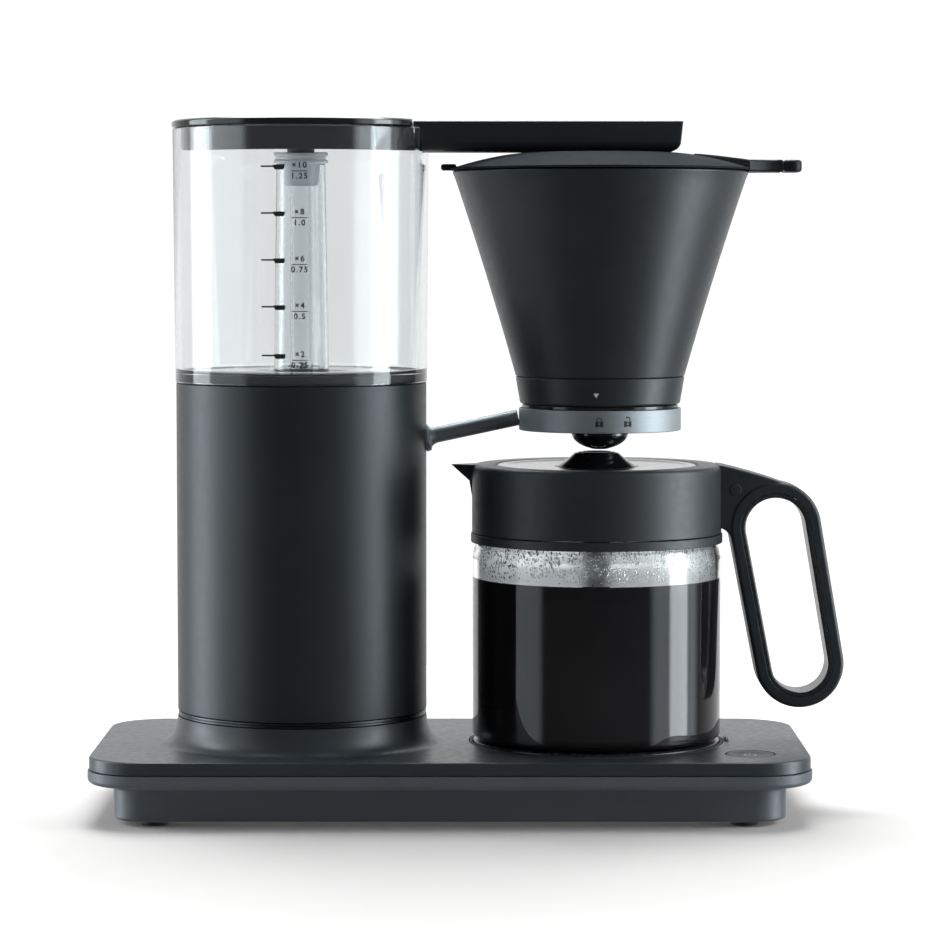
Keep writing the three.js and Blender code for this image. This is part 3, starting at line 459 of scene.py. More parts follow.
def see_through(name, first, second, ior, rough, wave):
    """Clear plastic or glass: a slight tint and very slow waves in its surface."""
    f = Finish(name)
    f.colours(f.noise(18, 2), first, second)
    f.rough(f.noise(60, 2), rough, rough + 0.012)
    f.bump(f.noise(22, 1), wave, 0.3)
    f.set(Transmission_Weight=1.0, IOR=ior)
    f.lets_light_through()
    return f.material


def sleeve_paint():
    """Satin lacquer on a metal tube."""
    f = Finish("sleeve_lacquer")
    f.colours(f.noise(24, 4), (0.0150, 0.0185, 0.0215), (0.0185, 0.0225, 0.026))
    f.rough(f.noise(300, 3), 0.38, 0.44)
    f.bump(f.noise(1900, 3, 0.6), 0.000012)
    f.set(Metallic=0.25, Specular_IOR_Level=0.5)
    return f.material


def coffee_liquid():
    f = Finish("coffee")
    f.colours(f.noise(14, 3), (0.0055, 0.0046, 0.0055), (0.008, 0.0065, 0.0072))
    f.rough(f.noise(40, 2), 0.03, 0.06)
    f.bump(f.noise(30, 2), 0.00008, 0.15)
    f.set(IOR=1.34, Specular_IOR_Level=0.08)
    return f.material


def droplet_water():
    f = Finish("droplets")
    f.colours(f.noise(300, 2), (0.93, 0.95, 0.96), (1, 1, 1))
    f.rough(f.noise(200, 2), 0.0, 0.03)
    f.set(Transmission_Weight=1.0, IOR=1.33)
    f.lets_light_through()
    return f.material


def mist_film():
    """Very fine condensation, which blurs what is behind it."""
    f = Finish("mist_film")
    f.colours(f.noise(90, 3), (0.86, 0.885, 0.90), (0.96, 0.975, 0.98))
    f.rough(f.noise(160, 3), 0.25, 0.55)
    f.bump(f.cells(1100), 0.00025, 0.6)
    f.set(Transmission_Weight=1.0, IOR=1.2)
    f.lets_light_through()
    return f.material


def soft_silicone():
    f = Finish("milky_silicone")
    f.colours(f.noise(120, 3), (0.82, 0.85, 0.87), (0.89, 0.92, 0.94))
    f.rough(f.noise(300, 3), 0.3, 0.42)
    f.bump(f.noise(900, 3), 0.00001)
    f.set(Transmission_Weight=0.55, IOR=1.3)
    f.lets_light_through((0.8, 0.82, 0.83))
    return f.material


def printed(name, dark, light):
    f = Finish(name)
    f.colours(f.noise(900, 4), dark, light)
    f.rough(f.noise(1400, 3), 0.45, 0.6)
    f.bump(f.noise(2500, 2), 0.000006)
    return f.material


CHARCOAL = moulded("charcoal_moulding", (0.0125, 0.0155, 0.018), (0.016, 0.0195, 0.0225), 0.44)
# Painted light: the base's band and body get a charcoal several times lighter than the other charcoal
# parts. It stands in for bounce light from the floor on these low front faces.
HOUSING_PAINTED_BOUNCE = moulded("housing_moulding_painted_bounce", (0.074, 0.083, 0.093), (0.082, 0.092, 0.103), 0.44)
COVER = moulded("cover_moulding", (0.025, 0.029, 0.033), (0.030, 0.0345, 0.039), 0.36)
CONE_SATIN = moulded("cone_moulding", (0.0125, 0.0152, 0.0175), (0.016, 0.0192, 0.022), 0.38, level=0.42)
FILTER_LID = moulded(
    "filter_lid_moulding", (0.0115, 0.0135, 0.0155), (0.015, 0.0175, 0.0195), 0.6, level=0.02
)
HANDLE_BLACK = moulded("handle_moulding", (0.006, 0.007, 0.0075), (0.009, 0.010, 0.011), 0.42, level=0.18)
JUG_LID = moulded("jug_lid_moulding", (0.020, 0.023, 0.026), (0.026, 0.030, 0.034), 0.11)
LINER = moulded("liner_moulding", (0.012, 0.013, 0.014), (0.02, 0.021, 0.022), 0.28, 1500, 0.00001)
SOFT_BLACK = moulded("soft_black_moulding", (0.012, 0.013, 0.014), (0.017, 0.018, 0.02), 0.5)
GLOSS = glossy("gloss_black_moulding", (0.006, 0.0065, 0.007), (0.011, 0.012, 0.013), 0.06)
SLEEVE = sleeve_paint()
RUBBER = moulded("rubber_moulding", (0.010, 0.010, 0.011), (0.02, 0.02, 0.021), 0.72, 1500, 0.00003)
RING_STEEL = brushed("brushed_ring_steel", (0.25, 0.27, 0.28), (0.34, 0.365, 0.38), 0.56, (1, 1, 26), 0.85)
ROD_STEEL = brushed("brushed_rod_steel", (0.52, 0.56, 0.58), (0.68, 0.73, 0.75), 0.4, (1, 22, 22), 0.9)
TRIM = brushed("satin_trim", (0.045, 0.048, 0.052), (0.07, 0.075, 0.08), 0.3, (1, 1, 14))
SPRING = brushed("spring_wire", (0.50, 0.51, 0.52), (0.66, 0.67, 0.68), 0.25, (8, 8, 30))
ZINC = cast("zinc_plated_steel", (0.45, 0.47, 0.47), (0.62, 0.64, 0.63), 0.36, 900, 0.00001)
ALUMINIUM = cast("cast_aluminium", (0.42, 0.43, 0.44), (0.56, 0.57, 0.58), 0.46)
PLATE_COAT = cast("plate_coating", (0.012, 0.0125, 0.013), (0.02, 0.02, 0.021), 0.22, 1400, 0.00002, 0.0)
CLEAR = see_through("tank_plastic", (0.85, 0.868, 0.875), (0.875, 0.89, 0.895), 1.49, 0.0, 0.00002)
GLASS = see_through("jug_glass_melt", (0.96, 0.975, 0.975), (0.985, 0.99, 0.99), 1.47, 0.0, 0.00006)
RISER = see_through("riser_tube_plastic", (0.97, 0.98, 0.985), (0.99, 0.995, 1.0), 1.25, 0.02, 0.00001)
SILICONE = soft_silicone()
WHITE = moulded("white_moulding", (0.60, 0.60, 0.58), (0.70, 0.70, 0.68), 0.45)
BOARD = moulded("board_lacquer", (0.010, 0.055, 0.022), (0.016, 0.085, 0.034), 0.4, 700, 0.00004)
COFFEE = coffee_liquid()
WATER = droplet_water()
MIST_FILM = mist_film()
PRINT_BLACK = printed("scale_ink", (0.008, 0.008, 0.009), (0.016, 0.016, 0.017))
PRINT_PALE = printed("pale_ink", (0.42, 0.44, 0.45), (0.56, 0.58, 0.59))

SLOT_FINISH = {
    "charcoal_plastic": CHARCOAL,
    "anthracite_sleeve": SLEEVE,
    "gloss_black": GLOSS,
    "soft_black": SOFT_BLACK,
    "black_rubber": RUBBER,
    "brushed_steel": RING_STEEL,
    "stainless": ROD_STEEL,
    "spring_steel": SPRING,
    "zinc_steel": ZINC,
    "pale_trim": TRIM,
    "coated_plate": PLATE_COAT,
    "cast_aluminium": ALUMINIUM,
    "clear_plastic": CLEAR,
    "jug_glass": GLASS,
    "silicone": SILICONE,
    "white_plastic": WHITE,
    "circuit_board": BOARD,
}
BODY_OF = {n: b for b, ns in frame["record"]["behaviour"]["bodies"].items() for n in ns}
SLOT_OF = {p["node"]: p["material_slot"] for p in frame["record"]["subparts"]}


def piece(name, mesh, body, slot, material=None, stands_for=(), weighted=True):
    """Puts a mesh into the scene as a named piece of the object."""
    thing = placed(name, mesh)
    mesh.materials.clear()
    mesh.materials.append(material or SLOT_FINISH[slot])
    if weighted:
        even = thing.modifiers.new("even_normals", "WEIGHTED_NORMAL")
        even.keep_sharp = True
        even.weight = 80
    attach(thing, body)
    if stands_for:
        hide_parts(*stands_for)
    return thing


def fine(node, mesh, material=None, weighted=True):
    """A finer mesh that stands for one CAD node."""
    return piece(f"{node}_fine", mesh, BODY_OF[node], SLOT_OF[node], material, (node,), weighted)


def lathe(node, axis, profile, sides=ROUND, material=None):
    """A turned piece that stands for one CAD node."""
    return fine(node, turned(f"{node}_fine", axis, profile, sides), material)


def spring(node, axis, r, wire, low, high):
    """A spring that stands for one CAD node."""
    return fine(node, helix(f"{node}_fine", axis, r, wire, low, high), weighted=False)


# ---- base ------------------------------------------------------------------------------------------

BASE_CORNER = 28.5
BASE_TOP = 34.0
BAND_LOW = 27.4
LIP_OUT = 0.8
BODY_IN = 12.2
BODY_LOW = 2.6
TOP_EDGE = 1.1


def base_loop(inset, z, steps=14):
    """The base's outline in plan at one height, moved in by inset."""
    left, right = span("base_cover", 0)
    half = span("base_cover", 1)[1]
    r = max(BASE_CORNER - inset, 0.5)
    x0, x1, h = left + inset, right - inset, half - inset
    corners = [(x1 - r, -h + r, -90), (x1 - r, h - r, 0), (x0 + r, h - r, 90), (x0 + r, -h + r, 180)]
    return [(x, y, z) for cx, cy, a in corners for x, y in arc(cx, cy, r, a, a + 90, steps)]


def circle(centre, r, z, steps=ROUND):
    return [(x, y, z) for x, y in arc(*centre, r, 0, 360, steps)[:-1]]


def filled(loops):
    """A flat sheet between an outer loop of points and the loops of its holes."""
    bm = bmesh.new()
    edges = []
    for loop in loops:
        verts = [bm.verts.new(tuple(c * MM for c in p)) for p in loop]
        edges += [bm.edges.new((verts[i - 1], verts[i])) for i in range(len(verts))]
    bmesh.ops.triangle_fill(bm, use_beauty=True, use_dissolve=False, edges=edges)
    return mesh_of("sheet", bm)


def hole_wall(centre, r, steps):
    """The wall of a round hole in the top, with a rounded upper edge."""
    edge = arc(r + HOLE_EDGE, BASE_TOP - HOLE_EDGE, HOLE_EDGE, 90, 180, 4)
    return plain_mesh("hole", *skin([circle(centre, *p, steps) for p in [*edge, (r, BAND_LOW)]]))


FLARE_R = 72.5
FLARE_TOP = 47.9
TOWER_R = 63.5
TOWER_HOLE = 58.0
SEAL_HOLE = 65.1
BUTTON_HOLE = 12.5
HOLE_EDGE = 0.35


def base_cover():
    """The top plate with its rolled edge, its holes, and the flare that the tower stands on."""
    levels = [(3.0, BAND_LOW), (0.35, BAND_LOW), (0.1, BAND_LOW + 0.12), (0.0, BAND_LOW + 0.4)]
    levels += arc(TOP_EDGE, BASE_TOP - TOP_EDGE, TOP_EDGE, 180, 90, 6)
    rim = plain_mesh("rim", *skin([base_loop(*level) for level in levels]))
    flare = []
    for i in range(15):
        a = math.pi / 2 * i / 14
        r = FLARE_R - (FLARE_R - TOWER_R) * math.sin(a)
        flare.append((r, FLARE_TOP - (FLARE_TOP - BASE_TOP) * math.cos(a)))
    flare += [(TOWER_R - 0.5, FLARE_TOP + 0.02), (TOWER_HOLE, FLARE_TOP), (TOWER_HOLE, BAND_LOW)]
    foot = plain_mesh("foot", *skin([circle(TOWER, *p) for p in flare]))
    top = filled(
        [
            base_loop(TOP_EDGE, BASE_TOP),
            circle(TOWER, FLARE_R, BASE_TOP),
            circle(JUG, SEAL_HOLE + HOLE_EDGE, BASE_TOP),
            circle(BUTTON, BUTTON_HOLE + HOLE_EDGE, BASE_TOP, SMALL),
        ]
    )
    under = filled(
        [
            base_loop(3.0, BAND_LOW),
            circle(TOWER, TOWER_HOLE, BAND_LOW),
            circle(JUG, SEAL_HOLE, BAND_LOW),
            circle(BUTTON, BUTTON_HOLE, BAND_LOW, SMALL),
        ]
    )
    walls = [hole_wall(JUG, SEAL_HOLE, ROUND), hole_wall(BUTTON, BUTTON_HOLE, SMALL)]
    mesh = joined("base_cover_fine", [rim, foot, top, under, *walls])
    finish_mesh(mesh)
    return joined("base_cover_fine", [mesh, jug_stop()])


def jug_stop():
    """The low rounded lip in the top beside the jug."""
    path = arc(*JUG, 66.6, -6, 5, 16)
    loops = []
    for i, (x, y) in enumerate(path):
        t = i / (len(path) - 1)
        high = 2.2 * min(1.0, 4.2 * t, 4.2 * (1 - t)) ** 0.6
        out = Vector((x - JUG[0], y - JUG[1])).normalized()
        loops.append([])
        for k in range(9):
            a = math.pi * k / 8
            across = 1.2 * math.cos(a)
            z = BASE_TOP - 0.2 + (high + 0.2) * math.sin(a)
            loops[-1].append((x + out.x * across, y + out.y * across, z))
    return make_mesh("stop", *skin(loops))


def base_housing():
    """The band below the cover, a cove, and the narrower body with its rounded foot."""
    out, low, step, edge, cove, foot = -LIP_OUT, 20.5, 0.5, 2.6, 3.2, 1.6
    wall = BODY_IN + 3.0
    levels = [
        (3.4, 27.1),
        *arc(out + step, 26.6, step, 90, 180, 4),
        *arc(out + edge, low + edge, edge, 180, 270, 8),
        *arc(BODY_IN - cove, low - cove, cove, 90, 0, 8),
        *arc(BODY_IN + foot, BODY_LOW + foot, foot, 180, 270, 8),
        (wall - 0.2, BODY_LOW), (wall, BODY_LOW + 0.2), (wall, 20.0), (3.4, 24.0),
    ]
    return make_mesh("base_housing_fine", *skin([base_loop(*level) for level in levels], True))


def power_button():
    cap = turned(
        "cap",
        BUTTON,
        [(0, 29.6), (12.0, 29.6), (12.1, 33.9, 0.5), (9.6, 33.9, 3), (6.0, 33.35, 6), (0, 33.3)],
        MEDIUM,
    )
    stem = turned("stem", BUTTON, [(0, 25.5), (3.2, 25.5, 0.4), (3.2, 30), (0, 30)], SCREW)
    return joined("power_button_fine", [cap, stem])


def power_mark():
    """A ring that is open at the top and a bar in the gap."""
    outer = arc(0, 0, 3.3, 122, 418, 40)
    inner = arc(0, 0, 2.75, 418, 122, 40)
    ring = plate("ring", [outer + inner], 0.08)
    bar = plate("bar", [[(-0.28, 1.0), (0.28, 1.0), (0.28, 4.2), (-0.28, 4.2)]], 0.08)
    return moved(joined("power_mark", [ring, bar]), *BUTTON, 33.38)


FOOT_PROFILE = [
    (0, 0.4), (5.2, 0.4, 0.3), (5.6, 0, 0.3), (6.6, 0, 0.7), (7.1, 0.9, 0.5), (7.1, 3.3), (0, 3.3),
]
SCREW_PROFILE = [
    (0, 2.9), (0.9, 2.9), (1.1, 2.0, 0.1), (2.1, 2.05, 0.3), (2.8, 2.8, 0.4), (2.8, 3.5, 0.1),
    (1.3, 3.5), (1.3, 13), (0, 13.6),
]
PLATE_PROFILE = [
    (0, 32.0), (62.8, 32.0), (62.8, 34.9, 0.6), (60.6, 34.9, 0.4), (60.2, 34.65, 0.4),
    (58.8, 34.65, 0.4), (58.4, 34.9, 0.4), (0, 34.9),
]
CORNERS = ("front_left", "front_right", "rear_left", "rear_right")

fine("base_cover", base_cover(), COVER)
# The housing's lighter colour is painted bounce light from the floor, not a lighter plastic.
fine("base_housing", base_housing(), HOUSING_PAINTED_BOUNCE)
fine("power_button", power_button())
piece("power_mark", power_mark(), "power_button", "white_plastic", PRINT_PALE, weighted=False)
for place in CORNERS:
    lathe(f"foot_{place}", middle(f"foot_{place}"), FOOT_PROFILE, TINY)
for place in CORNERS:
    lathe(f"pan_screw_{place}", middle(f"pan_screw_{place}"), SCREW_PROFILE, SCREW)
lathe("hot_plate", JUG, PLATE_PROFILE)
lathe("hot_plate_seal", JUG, [(63.1, 32), (64.8, 32), (64.8, 34.0, 0.4), (63.1, 34.3, 0.5)])

# ---- tower -----------------------------------------------------------------------------------------

TRIM_PROFILE = [
    (60.0, 48.2), (63.2, 48.2, 0.3), (63.2, 49.1, 0.2), (62.8, 49.4, 0.2), (63.2, 49.7, 0.2),
    (63.2, 50.7, 0.3), (60.0, 50.7),
]
DOCK_PROFILE = [
    (6.5, 208.0), (58, 208.0), (60, 211, 0.5), (60, 220.0, 0.8), (54, 220.0, 1.5), (52, 219.0, 1.5),
    (20, 219.0, 2.0), (17, 220.0, 1.5), (6.6, 220.0, 0.5),
]
lathe("tower_sleeve", TOWER, [(61.3, 51.0), (63.5, 51.0, 0.4), (63.5, 217.1, 0.5), (61.3, 217.1, 0.3)])
lathe("sleeve_trim_ring", TOWER, TRIM_PROFILE)
lathe("tank_dock", TOWER, DOCK_PROFILE)
LIP_SEAL_PROFILE = [(5.9, 217.4, 0.4), (7.6, 217.4, 0.4), (7.6, 220.1, 0.8), (5.9, 220.1, 0.8)]
lathe("dock_seal", VALVE, LIP_SEAL_PROFILE, SMALL)
lathe("riser_tube", TOWER, [(4.6, 196), (6.2, 196, 0.3), (6.2, 316, 0.5), (4.6, 316, 0.3)], SMALL, RISER)

# ---- support rod, ring and seat --------------------------------------------------------------------

ROD_R = 4.05
ROD_Z0 = 189.4
ROD_X0 = 64.4
ROD_SLOPE = (199.3 - ROD_Z0) / (110.4 - ROD_X0)


def support_rod():
    """The bar, with a weld collar that spreads on to the tower."""
    tilt = math.atan(ROD_SLOPE)
    inside = 50.0
    length = (FILTER[0] - 41.5 - TOWER[0] - inside) / math.cos(tilt)
    weld = 14.6 / math.cos(tilt)
    profile = [
        (0, 0), (ROD_R, 0), (ROD_R, weld - 2.4), (7.4, weld - 2.4), (7.3, weld, 0.8),
        (5.0, weld + 0.9, 2.5), (ROD_R, weld + 3.6, 3), (ROD_R, length, 0.3), (0, length),
    ]
    mesh = turned("support_rod_fine", (0, 0), profile, TINY)
    mesh.transform(Matrix.Rotation(math.pi / 2 - tilt, 4, "Y"))
    return moved(mesh, TOWER[0] + inside, 0, ROD_Z0 + ROD_SLOPE * (inside - ROD_X0))


fine("support_rod", support_rod())
RING_R = 41.2
lathe("holder_ring", FILTER, [(39.3, 193.0), (RING_R, 193.0, 0.5), (RING_R, 204.3, 0.5), (39.3, 204.3)])
SEAT_PROFILE = [
    (30.0, 194.5, 0.3), (38.9, 194.5, 0.3), (38.9, 204.6), (39.8, 204.6, 0.2), (39.8, 206.0, 0.2),
    (30.0, 206.0, 0.3),
]
lathe("filter_seat", FILTER, SEAT_PROFILE)

LOCK_Z = 198.6
LOCK_X = -1.8
LOCK_STEP = 12.9
LOCK_SCALE = 1.12


def padlock(open_shackle):
    """A padlock symbol about the origin: a body with its keyhole and a shackle over it."""
    body = rounded([(-1.75, -2.1, 0.35), (1.75, -2.1, 0.35), (1.75, 0.5, 0.35), (-1.75, 0.5, 0.35)])
    keyhole = arc(0, -0.75, 0.4, 0, 360, 15)[:-1]
    lift = 0.25 if open_shackle else 0.0
    end = 150 if open_shackle else 180
    outer = [(1.25, 0.6), *arc(0, 1.0 + lift, 1.25, 0, end, 14)]
    inner = [*arc(0, 1.0 + lift, 0.78, end, 0, 14), (0.78, 0.6)]
    if not open_shackle:
        outer += [(-1.25, 0.6)]
        inner = [(-0.78, 0.6), *inner]
    return [plate("lock", [body, keyhole], 0.05), plate("shackle", [outer + inner], 0.05)]


def lock_marks():
    """The closed and the open padlock, printed on the ring."""
    closed = joined("closed", padlock(False))
    opened = moved(joined("opened", padlock(True)), LOCK_STEP)
    mesh = joined("lock_marks", [closed, opened])
    mesh.transform(Matrix.Diagonal((LOCK_SCALE, LOCK_SCALE, 1, 1)))
    return wrapped(moved(mesh, LOCK_X), FILTER, RING_R + 0.01, LOCK_Z)


piece("lock_marks", lock_marks(), "root", "soft_black", PRINT_BLACK, weighted=False)

# ---- filter ----------------------------------------------------------------------------------------

CONE = {"rim": 74.9, "top": 324.1, "bottom": 220.6, "low_r": 42.9, "wall": 2.2}


def cone_r(z):
    t = (z - CONE["bottom"]) / (CONE["top"] - CONE["bottom"])
    return CONE["low_r"] + (CONE["rim"] - CONE["low_r"]) * (t + 0.1 * t * (t - 1))


def filter_cone():
    levels = [CONE["bottom"] + (CONE["top"] - CONE["bottom"]) * i / 24 for i in range(25)]
    outside = [(cone_r(z), z) for z in levels]
    outside[0] = (*outside[0], 0.3)
    outside[-1] = (outside[-1][0] + 0.35, outside[-1][1], 0.8)
    inside = [(cone_r(z) - CONE["wall"], z + 0.01) for z in reversed(levels[1:])]
    profile = [
        (4.5, 212.0),
        (37.6, 212.0, 0.4),
        (37.6, 220.6),
        *outside,
        *inside,
        (35.4, 222.6, 2),
        (35.4, 214.2, 2),
        (4.5, 214.2, 0.3),
    ]
    return turned("filter_cone_fine", FILTER, profile)


COLLAR_PROFILE = [
    (38.1, 211.0), (38.1, 206.4, 0.3), (40.6, 206.4, 1.4), (42.86, 219.8, 0.5), (42.4, 220.3, 0.3),
    (40.3, 220.3),
]


def nozzle():
    """A round cap with the drip stop's opening in its middle."""
    r = 14.6
    outer = [(3.95, 183.15, 0.3)]
    for i in range(1, 12):
        t = 0.27 + 0.73 * i / 11
        outer.append((r * t, 183.1 + 8.9 * (1 - math.sqrt(1 - t * t * 0.985))))
    inner = [(x * 0.87, z + 1.9) for x, z in reversed(outer[1:])]
    return turned("nozzle_fine", FILTER, [*outer, (r, 211.6), (12.8, 211.6), *inner, (3.95, 185.2)], MEDIUM)


DRIP_STOP_PROFILE = [
    (0, 183.1), (3.6, 183.1, 0.7), (3.6, 187.6, 0.2), (6.5, 188.2, 0.3), (6.5, 190.4, 0.3),
    (2.2, 190.8, 0.4), (2.2, 197.0, 0.5), (0, 197.0),
]
LID_RIM = 76.2
TAB_LOW, TAB_HIGH = 323.4, 329.6
TAB_HALF = 11.0


def tab_outline(start, end, half, radius, waist=0.0):
    """The handle's plan: it spreads at the rim and may have rounded far corners."""
    near = [(start, -half - waist), (start + 8, -half - waist * 0.25), (start + 14, -half)]
    far = [(end, -half, radius), (end, half, radius)]
    back = [(start + 14, half), (start + 8, half + waist * 0.25), (start, half + waist)]
    return rounded([*near, *far, *back] if waist else [(start, -half), *far, (start, half)])


def tab_mesh(name, outline, edge):
    return moved(plate(name, [outline], TAB_HIGH - TAB_LOW, edge, 4), *FILTER, (TAB_LOW + TAB_HIGH) / 2)


def filter_handle():
    """The tab spreads towards its root and starts just outside the rims of the cone and its lid."""
    mesh = tab_mesh("filter_handle_fine", tab_outline(73.6, 91.6, TAB_HALF, 0.2, 7.0), 1.3)
    for v in mesh.vertices:
        x = v.co.x / MM - FILTER[0]
        y = v.co.y / MM - FILTER[1]
        z = v.co.z / MM
        limit = LID_RIM + 0.3 if z > CONE["top"] + 0.15 else cone_r(z) + 0.7
        if math.hypot(x, y) < limit:
            v.co.x = (FILTER[0] + math.sqrt(max(limit * limit - y * y, 1.0))) * MM
    return mesh


def lid_tab():
    """The lid's own tab, which runs out level with the handle and is rounded along its sides."""
    start, high, foot, fan, edge, steps = 48.0, 332.6, 326.6, 5.0, 2.0, 12
    centre_z = (foot + TAB_HIGH) / 2
    loops = [[(FILTER[0] + start, FILTER[1], centre_z)]]
    for i in range(steps + 1):
        t = i / steps
        x, top = start + (LID_RIM - start) * t, high - (high - TAB_HIGH) * t**1.3
        spread = TAB_HALF + fan * (1 - t) ** 2
        side = [(spread + 1.5, foot), *arc(spread - edge, top - edge, edge, 10, 90, 6)]
        section = side + [(-y, z) for y, z in reversed(side)]
        loops.append(
            [(FILTER[0] + math.sqrt(x * x - (y * x / LID_RIM) ** 2), FILTER[1] + y, z) for y, z in section]
        )
    loops.append([(FILTER[0] + LID_RIM, FILTER[1], centre_z)])
    return make_mesh("lid_tab", *skin(loops))


def filter_lid():
    """The dome with its dish, a short lip to the left and the tab to the right."""
    crown, brim, dish, edge = 333.3, 326.1, 36.5, 73.6
    shares = [i / 20 for i in range(20, 0, -1)]
    dome = [(dish + (edge - dish) * t, crown - (crown - brim) * t**1.6) for t in shares]
    profile = [
        (9.0, 328.2), (dish, 328.2), (70.2, 324.5), (LID_RIM, 324.5, 0.5), (LID_RIM, 325.6, 0.5),
        (74.0, 325.9, 0.3),
        *dome,
        (36.9, crown, 0.6),
        (36.4, 330.2, 0.8),
        (9.0, 330.2, 0.3),
    ]
    lip = plate("lip", [rounded([(-73, -9), (-73, 9), (-80.8, 7.6, 3), (-80.8, -7.6, 3)])], 3.0, 1.1)
    parts = [turned("lid", FILTER, profile), moved(lip, *FILTER, 326.0), lid_tab()]
    return joined("filter_lid_fine", parts)


INDEX_X = -3.4


def index_mark():
    """The small triangle on the collar that points down at the padlocks."""
    mark = moved(plate("mark", [[(-1.35, 1.1), (0, -1.2), (1.35, 1.1)]], 0.05), INDEX_X)
    (low_r, low), (high_r, high) = (p[:2] for p in COLLAR_PROFILE[2:4])
    return wrapped(mark, FILTER, 41.95, 211.9, (high_r - low_r) / (high - low))


fine("filter_cone", filter_cone(), CONE_SATIN)
lathe("filter_collar", FILTER, COLLAR_PROFILE, material=CONE_SATIN)
fine("nozzle", nozzle())
lathe("drip_stop", FILTER, DRIP_STOP_PROFILE, SMALL)
fine("filter_handle", filter_handle(), HANDLE_BLACK)
tip = tab_mesh("handle_tip_fine", tab_outline(92.0, 101.4, TAB_HALF, 7.0), 1.6)
fine("handle_tip", tip, HANDLE_BLACK)
fine("filter_lid", filter_lid(), FILTER_LID)
piece("index_mark", index_mark(), "filter", "white_plastic", PRINT_PALE, weighted=False)

# ---- tank ------------------------------------------------------------------------------------------

TANK_PROFILE = [
    (60.3, 217.4, 0.3), (63.9, 217.4, 0.4), (64.9, 345.6, 1.0), (61.7, 345.6, 1.0),
    (60.7, 222.5, 2.2), (14.0, 222.5, 1.5), (12.4, 325.2, 0.6), (10.7, 325.2, 0.5),
    (12.3, 220.4, 0.3), (60.3, 220.4, 0.3),
]
NOTCH_HALF = 19.7
NOTCH_LOW = 333.5


def tank_shell():
    mesh = turned("tank_shell_fine", TOWER, TANK_PROFILE)
    low = (TOWER[0] + 30, -NOTCH_HALF, NOTCH_LOW)
    high = (TOWER[0] + 80, NOTCH_HALF, 350)
    return carve(mesh, [(low, high)])


FLOOR_INSERT = [
    (14.3, 220.7), (60.6, 220.7, 0.3), (60.6, 218.4, 0.2), (63.6, 218.4, 0.2), (63.6, 222.2, 0.4),
    (14.3, 222.2),
]
SEAL_PROFILE = [
    (6.5, 314.2, 0.4), (8.7, 314.2, 1.2), (9.8, 325.5, 0.3), (13.7, 325.5, 0.4), (13.7, 327.0, 0.4),
    (12.6, 327.4, 0.3), (12.6, 328.8, 0.3), (13.7, 329.2, 0.4), (13.7, 330.8, 0.6),
    (7.4, 330.8, 0.6), (7.4, 319.0, 0.5), (6.5, 319.0, 0.3),
]
POPPET_PROFILE = [
    (0, 213.8), (4.9, 213.8, 0.3), (4.9, 214.8, 0.3), (2.3, 214.8, 0.3), (2.3, 225.4, 0.4),
    (7.4, 225.4, 0.3), (7.4, 226.3, 0.4), (3.2, 227.3, 1.5), (0, 227.4),
]
TANK_LID_PROFILE = [
    (0, 347.2), (58.4, 347.2, 0.5), (58.4, 333.4, 0.5), (60.6, 333.4, 0.5), (60.6, 345.9, 0.3),
    (65.3, 345.9, 0.4), (65.3, 348.6, 0.9), (64.0, 349.4, 0.8), (0, 349.4),
]
RISE_PROFILE = [(0, 348.9), (10.6, 348.9), (10.4, 349.9, 0.5), (9.0, 350.3, 1), (0, 350.3)]


def tank_lid():
    """The cap with a low rise on top. Its skirt is cut away under the arm and has a slot for the tongue."""
    x = TOWER[0]
    beyond = ((x + 56.9, -80, 330), (x + 80, 80, 360))
    slot = ((x + 40, -14.0, 330), (x + 70, 14.0, 341.6))
    cap = turned("tank_lid_fine", TOWER, TANK_LID_PROFILE)
    rise = turned("rise", (x + 45.0, 0), RISE_PROFILE, SMALL)
    return joined("tank_lid_fine", [carve(cap, [beyond, slot]), rise])


fine("tank_shell", tank_shell(), weighted=False)
piece("tank_floor_insert", turned("tank_floor_insert", TOWER, FLOOR_INSERT), "tank", "soft_black")
lathe("column_seal", TOWER, SEAL_PROFILE, MEDIUM)
lathe("valve_poppet", VALVE, POPPET_PROFILE, SMALL)
fine("tank_lid", tank_lid())
spring("valve_spring", VALVE, 3.9, 0.4, 215.1, 220.1)

MARK_X = 2.3
PRINT_LIFT = 0.16
PRINT_THICK = 0.04
MARK_ROWS = [
    (325.1, "10", "1.25"), (302.3, "8", "1.0"), (279.4, "6", "0.75"), (256.5, "4", "0.5"),
    (232.6, "2", "0.25"),
]


def words(text, size, x, y):
    curve = bpy.data.curves.new("words", "FONT")
    curve.body = text
    curve.size = size * MM
    curve.align_x = "CENTER"
    curve.align_y = "CENTER"
    curve.extrude = 0.02 * MM
    curve.offset = 0.1 * MM
    curve.space_character = 1.26
    return moved(from_curve("words", curve), x, y)


